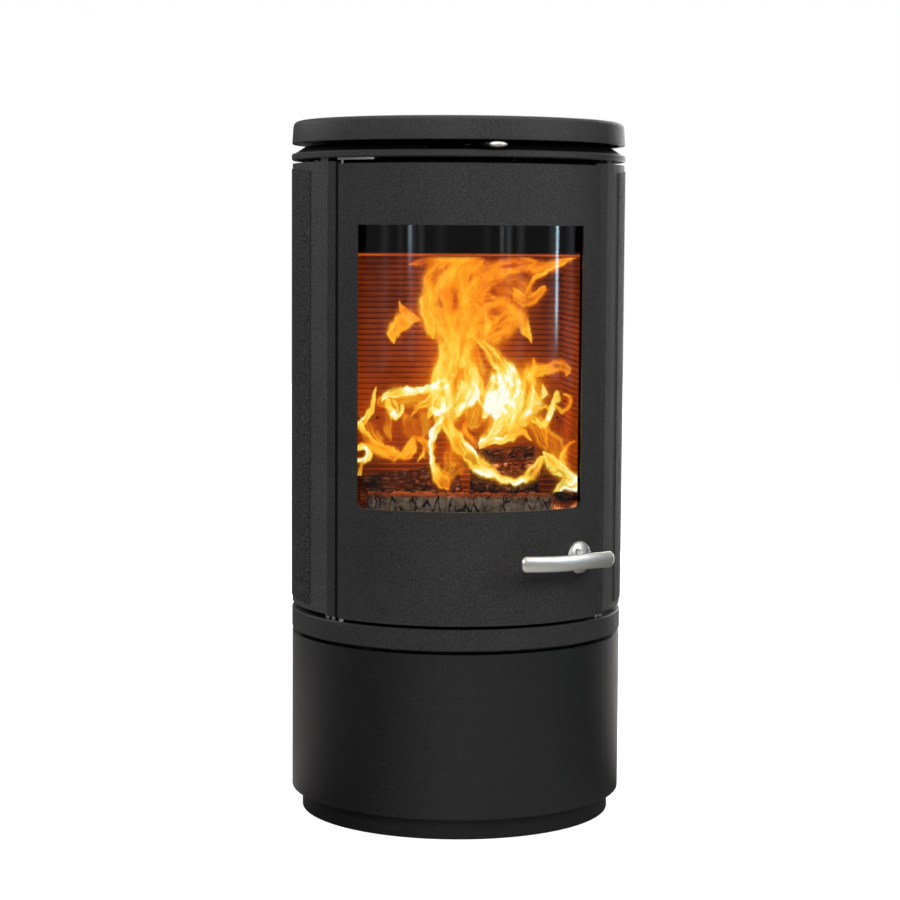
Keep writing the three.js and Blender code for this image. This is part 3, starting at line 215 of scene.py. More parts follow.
# near black: painted shade where the stove lies in shadow, under the top plate and in the door's side gap
SHADE_BLACK = (0.0012, 0.0012, 0.0012)
PAINT_EDGE = 0.0002       # half of the metres over which one finish turns into the next
BEARING_EDGE = 0.001      # the same in radians round the stove


def warm_grey(level, warmth=0.02):
    return (level * (1 + warmth), level, level * (1 - warmth))


def paint(name, level, rough, grain, mottle=0.12, specular=0.35, field=None, shade_black_above=None,
          shade_black_between=None):
    """Matt stove paint: sandy grain, so fine to a metre, a soft mottle, and slightly worn gloss.
    Beyond the radius of field, where it is given, the casting is rough and darker. Above the height
    shade_black_above, and between the two bearings of shade_black_between, it is painted near black, and matt
    between
    the bearings: painted shade for the shadow under the top plate and in the door's side gap."""
    s = Shader(name, Specular_IOR_Level=specular)
    fine = s.noise(grain, 3.0, 0.6)
    soft = s.noise(9.0, 3.0, 0.55)
    tone = s.math("ADD", s.swing(fine, -0.8, 0.8), s.swing(soft, -0.14, 0.14))
    colour = s.ramp(s.span(tone, -1, 1), [
        (0.0, warm_grey(level * (1 - mottle * 2))), (1.0, warm_grey(level * (1 + mottle * 2)))])
    gloss = s.swing(soft, rough - 0.02, rough + 0.03)
    relief = s.bump(fine, 0.0006, 0.7, s.bump(s.noise(grain * 1.9, 2.0, 0.5), 0.00022, 0.6))
    if field:
        inside = s.step(s.vector("LENGTH", {0: s.stretched((1, 1, 0))}, "Value"), field, PAINT_EDGE)
        coarse = s.noise(400.0, 3.0, 0.65)
        colour = s.mix(inside, colour, s.ramp(coarse, [
            (0.38, warm_grey(level * 0.1)), (0.62, warm_grey(level * 1.15))]))
        gloss = s.math("ADD", gloss, s.math("MULTIPLY", inside, 0.14))
        relief = s.bump(s.math("MULTIPLY", coarse, inside), 0.0014, 0.8, relief)
    # painted shade: near black above this height, for the shadow under the top plate
    if shade_black_above:
        colour = s.mix(s.step(s.axes()["Z"], shade_black_above, PAINT_EDGE), colour, SHADE_BLACK)
    # painted shade: near black and matt between these bearings, for the shadow in the door's side gap
    if shade_black_between:
        plan = s.axes()
        bearing = s.bearing(plan["X"], plan["Y"])
        low, high = (math.radians(side) for side in shade_black_between)
        gap_shade = s.math("MULTIPLY", s.step(bearing, low, BEARING_EDGE),
                        s.step(bearing, high, BEARING_EDGE, 1.0, 0.0))
        colour = s.mix(gap_shade, colour, SHADE_BLACK)
        gloss = s.math("MAXIMUM", gloss, s.math("MULTIPLY", gap_shade, 0.95))
    s.feed("Base Color", colour)
    s.feed("Roughness", gloss)
    s.feed("Normal", relief)
    return s.material


def metal(name, colour, rough, brushed, along=(1, 1, 1), grime=0.25, relief=0.00006):
    """Bare metal with brushing along one direction and a little handling wear."""
    s = Shader(name, Metallic=1.0)
    lines = s.noise(brushed, 4.0, 0.65, s.stretched(along))
    smear = s.noise(45.0, 3.0, 0.5)
    dull = tuple(c * (1 - grime) for c in colour)
    s.feed("Base Color", s.mix(s.span(smear, 0.35, 0.7), colour, dull))
    s.feed("Roughness", s.math("ADD", s.swing(smear, rough - 0.04, rough + 0.05),
                               s.swing(lines, -0.04, 0.04)))
    s.feed("Normal", s.bump(lines, relief, 0.5))
    return s.material


def hearth_board(name, firelit_below=None):
    """Fire-board and iron linings: tan-brown, sooted, gritty. Below a height it may glow a little: painted
    firelight, standing in for the flames' light on the baffle's front edge.
    """
    s = Shader(name, Specular_IOR_Level=0.15)
    grit = s.noise(420.0, 3.0, 0.6)
    patch = s.noise(22.0, 4.0, 0.6)
    soot = s.noise(7.0, 3.0, 0.6)
    clean = s.ramp(patch, [
        (0.3, (0.17, 0.07, 0.02)), (0.55, (0.23, 0.097, 0.03)), (0.75, (0.3, 0.13, 0.042))])
    s.feed("Base Color", s.mix(s.span(soot, 0.42, 0.68, 0.1, 0.75), clean, (0.075, 0.032, 0.012)))
    s.feed("Roughness", s.swing(grit, 0.8, 0.98))
    s.feed("Normal", s.bump(grit, 0.0005, 0.7))
    if firelit_below:
        # painted light: orange emission below the height, for the flames' light on the baffle's edge
        s.feed("Emission Color", s.mix(s.span(patch, 0.35, 0.65), (0.85, 0.12, 0.01), (0.5, 0.05, 0.004)))
        s.feed("Emission Strength", s.step(s.axes()["Z"], firelit_below, 2 * PAINT_EDGE, 0.8, 0.0))
    return s.material


def rope_material(name):
    """The gasket's dark glass-fibre rope."""
    s = Shader(name, Specular_IOR_Level=0.1)
    waves = {"Vector": s.place, "Scale": 260.0, "Distortion": 1.5, "Detail": 2.0}
    strands = s.add("ShaderNodeTexWave", waves, bands_direction="DIAGONAL").outputs[1]
    s.feed("Base Color", s.ramp(strands, [(0.0, (0.02, 0.02, 0.02)), (1.0, (0.09, 0.088, 0.08))]))
    s.feed("Roughness", s.span(strands, 0.0, 1.0, 0.95, 0.8))
    s.feed("Normal", s.bump(strands, 0.0006, 0.8))
    return s.material


def glass_material(name):
    """Ceramic stove glass: clear, faintly warm, with a trace of dust in its gloss."""
    s = Shader(name, Transmission_Weight=1.0, IOR=1.5, Specular_IOR_Level=0.5)
    film = s.noise(60.0, 4.0, 0.6)
    s.feed("Base Color", s.ramp(film, [(0.3, (0.95, 0.94, 0.92)), (0.7, (0.985, 0.98, 0.965))]))
    s.feed("Roughness", s.span(film, 0.35, 0.75, 0.0, 0.018))
    return s.material


def bark_material(name):
    """A split log's grey-brown face: cracks go black, the upper edge is scorched."""
    s = Shader(name, Specular_IOR_Level=0.15)
    crack = s.math("MAXIMUM", s.math("MAXIMUM", s.math("MULTIPLY", s.attribute("crack"), 0.45),
                                     s.cracks((75, 20, 22), 0.07, 38.0, 0.42)),
                   s.cracks((60, 20, 190), 0.06, 75.0, 0.56))
    fibre = s.noise(120.0, 5.0, 0.65, s.stretched((0.5, 1.0, 1.5)))
    blotch = s.noise(30.0, 4.0, 0.6)
    wood = s.ramp(fibre, [(0.3, (0.16, 0.11, 0.072)), (0.5, (0.4, 0.29, 0.205)), (0.72, (0.6, 0.46, 0.35))])
    ashy = s.mix(s.span(blotch, 0.4, 0.75), wood, (0.45, 0.34, 0.26))
    scorched = s.mix(s.attribute("scorch"), ashy, (0.17, 0.062, 0.026))
    s.feed("Base Color", s.mix(crack, scorched, (0.004, 0.003, 0.0025)))
    s.feed("Roughness", s.swing(fibre, 0.75, 0.95))
    s.feed("Emission Color", s.mix(s.attribute("ember"), (0, 0, 0), (1.0, 0.19, 0.03)))
    s.feed("Emission Strength", 0.5)
    s.feed("Normal", s.bump(fibre, 0.0009, 0.6))
    return s.material


def char_material(name):
    """Burning wood: black scaly char, orange-brown on its raised scales as a painted highlight of the
    firelight, pinkish ash along its ridges, embers in it.
    """
    s = Shader(name, Specular_IOR_Level=0.25)
    crack = s.math("MAXIMUM", s.attribute("crack"), s.cracks((62, 80, 130), 0.13, 40.0, 0.3))
    scale = s.noise(150.0, 5.0, 0.7, s.stretched((0.45, 1.0, 1.8)))
    ash = s.math("MULTIPLY", s.span(s.noise(60.0, 4.0, 0.6, s.stretched((0.5, 1.0, 1.8))), 0.5, 0.62),
                 s.span(scale, 0.45, 0.6))
    # black char rising to orange-brown on the raised scales, where the bump is highest: the orange is a
    # painted highlight of the flames' light
    char_and_firelit_ridges = s.ramp(scale, [
        (0.36, (0.008, 0.005, 0.003)), (0.54, (0.15, 0.066, 0.028)), (0.7, (0.48, 0.23, 0.11))])
    lit = s.mix(s.math("MULTIPLY", ash, s.math("SUBTRACT", 1.0, crack)), char_and_firelit_ridges, (0.5, 0.33, 0.25))
    s.feed("Base Color", s.mix(crack, lit, (0.004, 0.003, 0.002)))
    s.feed("Roughness", s.swing(scale, 0.65, 0.92))
    flicker = s.span(s.noise(60.0, 3.0, 0.6), 0.3, 0.65, 0.55, 1.1)
    glow = s.math("MULTIPLY", s.attribute("ember"), flicker)
    s.feed("Emission Color", s.ramp(glow, [
        (0.0, (0, 0, 0)), (0.3, (0.13, 0.018, 0.003)), (0.6, (0.5, 0.15, 0.04)), (1.0, (0.85, 0.36, 0.13))]))
    s.feed("Emission Strength", 1.3)
    s.feed("Normal", s.bump(scale, 0.0018, 0.9))
    return s.material


def flame_material(name):
    """Flames: sheets that glow from red-orange where they are thin to near white."""
    s = Shader(name, Specular_IOR_Level=0.0, Roughness=1.0, Base_Color=(0, 0, 0, 1))
    flicker = s.swing(s.noise(55.0, 3.0, 0.55, s.stretched((1, 1, 0.4))), 0.93, 1.06)
    s.feed("Emission Color", s.ramp(s.math("MULTIPLY", s.attribute("glow"), flicker), [
        (0.0, (0.42, 0.03, 0.001)), (0.25, (0.85, 0.13, 0.004)), (0.45, (1.0, 0.3, 0.008)),
        (0.62, (1.0, 0.47, 0.022)), (0.78, (1.0, 0.68, 0.07)), (0.93, (1.0, 0.88, 0.28)),
        (1.08, (1.0, 1.0, 0.85))]))
    s.feed("Emission Strength", 1.12)
    s.feed("Alpha", s.attribute("cover"))
    s.material.cycles.emission_sampling = "NONE"
    return s.material


# ------------------------------ frame nodes
MERGE_DISTANCE = 1e-5
SHARP_ANGLE = math.radians(24)  # edges that turn more than this stay sharp
BEVEL_ANGLE = math.radians(50)
BEVEL_WIDTHS = {"door_casting": 0.0011, "top_plate": 0.0012}


def merge_and_smooth():
    """Joins the frame's split corners and shades its turned faces smooth."""
    tree = bpy.data.node_groups.new("merge_and_smooth", "GeometryNodeTree")
    for way in ("INPUT", "OUTPUT"):
        tree.interface.new_socket("Geometry", in_out=way, socket_type="NodeSocketGeometry")
    g = Nodes(tree)
    source = g.add("NodeGroupInput").outputs[0]
    merged = g.add("GeometryNodeMergeByDistance", {0: source, "Distance": MERGE_DISTANCE}).outputs[0]
    smooth = g.add("GeometryNodeSetShadeSmooth", {0: merged}).outputs[0]
    angle = g.add("GeometryNodeInputMeshEdgeAngle").outputs["Unsigned Angle"]
    sharp = g.add("FunctionNodeCompare", {0: angle, 1: SHARP_ANGLE}, operation="GREATER_THAN").outputs[0]
    edges = {0: smooth, "Selection": sharp, "Shade Smooth": False}
    creased = g.add("GeometryNodeSetShadeSmooth", edges, domain="EDGE").outputs[0]
    g.add("NodeGroupOutput", {0: creased})
    return tree


MATERIALS = {  # paint: its level, roughness, grain, mottle and specular level
    "cast": paint("cast_paint", 0.031, 0.48, 620.0, 0.37, 0.24),
    "panel": paint("panel_paint", 0.058, 0.5, 480.0, 0.3, 0.12, field=0.2169),
    # the front frame: near black and matt between these bearings, a painted shade for the door's side gap
    "frame": paint("frame_paint_gap_shade", 0.031, 0.48, 620.0, 0.37, 0.24, shade_black_between=(-51.6, 49.25)),
    # the rim: its cone near black above this height, a painted shade for the shadow under the top plate
    "rim": paint("rim_paint_shade_cone", 0.034, 0.45, 620.0, 0.36, 0.24, shade_black_above=0.8584),
    "steel": paint("sheet_paint", 0.004, 0.3, 1100.0, 0.1, 0.5),
    "dark_iron": paint("dark_iron", 0.006, 0.5, 700.0, 0.2),
    # near black: painted shade for the parts in the dark space under the top plate
    "shade_black_iron": paint("shade_black_iron", 0.0015, 0.6, 700.0, 0.2, 0.15),
    "zinc": metal("zinc_plate", (0.62, 0.63, 0.64), 0.32, 300.0),
    "brushed_steel": metal("brushed_steel", (0.84, 0.815, 0.77), 0.38, 110.0,
                           along=(0.25, 0.25, 5.0), grime=0.08, relief=0.000012),
    "hearth": hearth_board("hearth_board"),
    # the baffle: its front edge carries painted firelight
    "baffle": hearth_board("baffle_firelit_edge", firelit_below=0.7302),
    "rope": rope_material("gasket_rope"),
    "bark": bark_material("split_wood"),
    "charred": char_material("charred_wood"),
    "glass": glass_material("stove_glass"),
    "flame": flame_material("flame"),
}
OWN_LOOK = {  # nodes that look different from what their material slot says
    "left_side_panel": "panel", "right_side_panel": "panel", "rim_collar": "rim", "baffle_plate": "baffle",
    "front_frame": "frame", **dict.fromkeys((
        # the parts in the dark space under the top plate, painted near black for the shade there
        "top_plate_spacer_1", "top_plate_spacer_2", "top_plate_spacer_3", "crown_plate", "flue_collar",
        "air_shutter"), "shade_black_iron"),
}


def dress_frame():
    """Gives the frame's nodes their materials, smooth shading and a few softened edges."""
    slot_of = {row["node"]: row["material_slot"] for row in frame["record"]["subparts"]}
    smoother = merge_and_smooth()
    for name, node in nodes.items():
        slot = OWN_LOOK.get(name, slot_of[name])
        node.data.materials.clear()
        node.data.materials.append(MATERIALS[slot])
        for face in node.data.polygons:
            face.material_index = 0
        custom = node.data.attributes.get("custom_normal")
        if custom is not None:
            node.data.attributes.remove(custom)
        modifier = node.modifiers.new("smooth", "NODES")
        modifier.node_group = smoother
        if name in BEVEL_WIDTHS:
            bevel = node.modifiers.new("edges", "BEVEL")
            bevel.width, bevel.segments = BEVEL_WIDTHS[name], 2
            bevel.limit_method, bevel.angle_limit = "ANGLE", BEVEL_ANGLE
            bevel.harden_normals = True


# ------------------------------ handle
LEVER_RADIUS = 0.25325    # middle of the bar's thickness, from the stove's axis
LEVER_HEIGHT = 0.351
LEVER_ANGLES = (45.57, 12.73)  # tail and free end, from the middle of the door
LEVER_SPINDLE_ANGLE = 39.6
LEVER_SLOPE = math.tan(math.radians(2.2))
LEVER_SIZE = (0.01, 0.00375)   # half height, half thickness
LEVER_CORNER = 0.0072          # radius of the ends' corners, seen from the front
LEVER_NOSE = 0.003             # length over which the ends get thinner
LEVER_GROOVE = (0.0034, 0.0011)  # a groove across the tail: its place along the bar, its half width
LEVER_SAG = 0.0026             # how far the bar bends down towards its free end
LEVER_BEND = (0.22, 0.72)      # where it bends, as shares of its length
LEVER_STEPS = 120


def clamp(value):
    return max(0.0, min(1.0, value))


def smooth_step(value, low, high):
    t = clamp((value - low) / (high - low))
    return t * t * (3 - 2 * t)


def lever_section(half_height, half_depth, sunk):
    """A bar's section: flat at its back, domed at its front; sunk lowers the dome."""
    dome = [(math.sin(a) * half_height, half_depth * (-0.3 + (1.3 - sunk) * math.cos(a) ** 0.85))
            for a in (math.radians(-84 + 12 * k) for k in range(15))]
    back = [(0.97, -0.62), (0.86, -0.9), (0.7, -1.0), (0.0, -1.0), (-0.7, -1.0), (-0.86, -0.9), (-0.97, -0.62)]
    return dome + [(h * half_height, d * half_depth) for h, d in back]


def add_lever():
    """The door's lever: a brushed bar that follows the door, bends and has rounded ends."""
    tail, free = LEVER_ANGLES
    span = math.radians(tail - free) * LEVER_RADIUS
    stations = [span * (0.5 - 0.5 * math.cos(math.pi * k / LEVER_STEPS)) for k in range(LEVER_STEPS + 1)]
    verts, faces, rings = [], [], []
    for at in stations:
        from_end = min(at, span - at)
        low = max(0.0, LEVER_CORNER - from_end)
        height = LEVER_SIZE[0] - LEVER_CORNER + math.sqrt(max(0.0, LEVER_CORNER ** 2 - low ** 2))
        thinned = max(0.0, 1 - from_end / LEVER_NOSE)
        depth = LEVER_SIZE[1] * (0.35 + 0.65 * math.sqrt(max(0.0, 1 - thinned ** 2)))
        groove = max(0.0, 1 - abs(at - LEVER_GROOVE[0]) / LEVER_GROOVE[1])
        turn = math.radians(tail - math.degrees(at / LEVER_RADIUS))
        lean = (math.radians(LEVER_SPINDLE_ANGLE) - turn) * LEVER_RADIUS * LEVER_SLOPE
        rise = lean - LEVER_SAG * smooth_step(at / span, *LEVER_BEND)
        ring = []
        for up, out in lever_section(height, depth, 0.75 * min(1.0, groove * 1.6)):
            radius = LEVER_RADIUS + out
            ring.append(len(verts))
            verts.append((radius * math.sin(turn), -radius * math.cos(turn), LEVER_HEIGHT + rise + up))
        rings.append(ring)
    for one, two in zip(rings, rings[1:]):
        faces.extend((one[k - 1], one[k], two[k], two[k - 1]) for k in range(len(one)))
    faces.extend((rings[0][::-1], rings[-1]))
    mesh = bpy.data.meshes.new("handle_lever_bar")
    mesh.from_pydata(verts, [], faces)
    for face in mesh.polygons:
        face.use_smooth = len(face.vertices) == 4
    mesh.materials.append(MATERIALS["brushed_steel"])
    bar = placed("handle_lever_bar", mesh)
    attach(bar, "handle")
    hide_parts("handle_lever")


# ------------------------------ logs
VOXEL = 0.0022            # metres between the points of a log's skin


def remeshed(node, name):
    """A fine closed copy of a frame node, to be worked as its own piece."""
    piece = placed(name, nodes[node].data.copy())
    modifier = piece.modifiers.new("remesh", "REMESH")
    modifier.mode = "VOXEL"
    modifier.voxel_size = VOXEL
    shape = bpy.data.meshes.new_from_object(piece.evaluated_get(bpy.context.evaluated_depsgraph_get()))
    piece.modifiers.clear()
    piece.data = shape
    for face in shape.polygons:
        face.use_smooth = True
    return piece


def crackle(point, cell, sharp):
    """1 in the cracks between cells of that size (x, y, z), 0 on their faces."""
    scaled = Vector((point.x / cell[0], point.y / cell[1], point.z / cell[2]))
    warped = scaled + 0.3 * noise.noise_vector(scaled * 1.9)
    near = noise.voronoi(warped)[0]
    return max(0.0, 1 - (near[1] - near[0]) / sharp)


def patchy(point, scale, bias=0.0):
    return clamp(0.5 + bias + 1.6 * noise.noise(point * scale))


def carve(piece, crack_at, depth, rough, ember, scorch):
    """Sinks cracks and a rough skin into a log, and marks cracks, embers and scorching."""
    mesh = piece.data
    low = Vector((min(v.co[i] for v in mesh.vertices) for i in range(3)))
    high = Vector((max(v.co[i] for v in mesh.vertices) for i in range(3)))
    marks, moved = [], []
    for v in mesh.vertices:
        crack = crack_at(v.co)
        lumps = 0.5 + 0.5 * noise.fractal(v.co * 70, 0.7, 2.0, 4)
        height = (v.co.z - low.z) / (high.z - low.z)
        share = (v.co.x - low.x) / (high.x - low.x)
        moved.append(v.co - v.normal * (depth * crack ** 0.7 + rough * lumps))
        marks.append((min(1.0, crack * 1.3), *(mark(v.co, height, share, crack) for mark in (ember, scorch))))
    for v, place in zip(mesh.vertices, moved):
        v.co = place
    for key, values in zip(("crack", "ember", "scorch"), zip(*marks)):
        mesh.attributes.new(key, "FLOAT", "POINT").data.foreach_set("value", values)
    mesh.update()


def dress_log(node, slot, crack_at, depth, rough, ember, scorch):
    """Stands a carved log in for a frame node."""
    piece = remeshed(node, node + "_wood")
    carve(piece, crack_at, depth, rough, ember, scorch)
    piece.data.materials.clear()
    piece.data.materials.append(MATERIALS[slot])
    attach(piece, "stove")
    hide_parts(node)


def drying_cracks(point):
    """Short upright cracks in a split face, some open, most closed, and flecks between them."""
    tall = crackle(point, (0.0135, 0.03, 0.05), 0.16) * patchy(point, 38, 0.2)
    fleck = crackle(point, (0.005, 0.01, 0.007), 0.24) * patchy(point, 95, -0.24)
    return min(1.0, 1.5 * tall + 1.2 * fleck)


def char_scales(point):
    return crackle(point, (0.017, 0.012, 0.0075), 0.2)


def char_cubes(point):
    return max(crackle(point, (0.0085, 0.03, 0.05), 0.16), 0.7 * crackle(point, (0.03, 0.012, 0.012), 0.1))


# Embers and scorching, from a place on a log, its share of the log's height and of its length, and
# how far it is in a crack.
def unmarked(place, height, share, crack):
    return 0.0


def edge_embers(place, height, share, crack):
    return max(0.0, height - 0.9) * 10 * patchy(place, 60, 0.15) * (1 - crack)


def edge_scorch(place, height, share, crack):
    return clamp((height - 0.84) * 14 + 0.6 * noise.noise(place * 90))


def low_embers(place, height, share, crack):
    return 0.36 * patchy(place, 30) * (0.3 + crack) * max(0.0, 1 - 0.8 * height)


def top_embers(place, height, share, crack):
    lit = (1 - crack) * (0.35 + 0.65 * patchy(place, 45))
    return lit * clamp((height - 0.72) * 7) * clamp((share - 0.18) * 6)


def crack_embers(place, height, share, crack):
    return 0.5 * crack * patchy(place, 40, 0.1)


def coals(place, height, share, crack):
    return (1 - 0.6 * crack) * (0.25 + 0.75 * patchy(place, 60, 0.2)) * clamp((0.8 - height) * 5)


LOGS = [  # node, material, cracks, their depth, the skin's roughness, embers, scorching
    ("log_front", "bark", drying_cracks, 0.003, 0.0008, edge_embers, edge_scorch),
    ("log_left", "charred", char_scales, 0.0026, 0.002, low_embers, unmarked),
    ("log_right", "charred", char_cubes, 0.003, 0.0012, top_embers, unmarked),
    ("log_upper", "charred", char_scales, 0.0026, 0.0018, crack_embers, unmarked),
    ("log_stub", "charred", char_scales, 0.0026, 0.002, coals, unmarked),
]


# ------------------------------ flames
# Each flame is a ribbon along a smooth line, seen through the window: the depth it burns at, its
# cover, and the points (across, down, half width, heat) in fifths of a pixel from the window's corner.
WINDOW_CORNER = (345, 210)
WINDOW_UNIT = 0.2
FLAME_SIDE = 0.146        # how far out to the right a flame may burn
FLAME_TOP = 0.7262        # under the baffle
FLAME_CEILING = (250, 222)  # rows over which the flames thin out under it
FLAME_STEPS = 10          # points of a flame's line between two given ones
FLAME_GRID = 3.0          # the sheets' mesh, in fifths of a pixel
FLAME_START, FLAME_SPAN = 60, (1168, 1500)  # where that mesh begins, and ends across and down
FLAME_SPREAD = 1.3        # how much wider a flame burns than its points say
FLAME_MARGIN = 35         # how far its noise may push it out
FLAME_WARPS = [(34, 90, 120), (24, 34, 50), (6, 12, 17)]  # that noise: reach, cells across and down
FLAME_LEAST = 0.06        # cover, summed over the corners of a face, under which it is left out
SHEETS = [("back", 0.005), ("middle", -0.045), ("front", -1.0)]  # depths over which each sheet burns
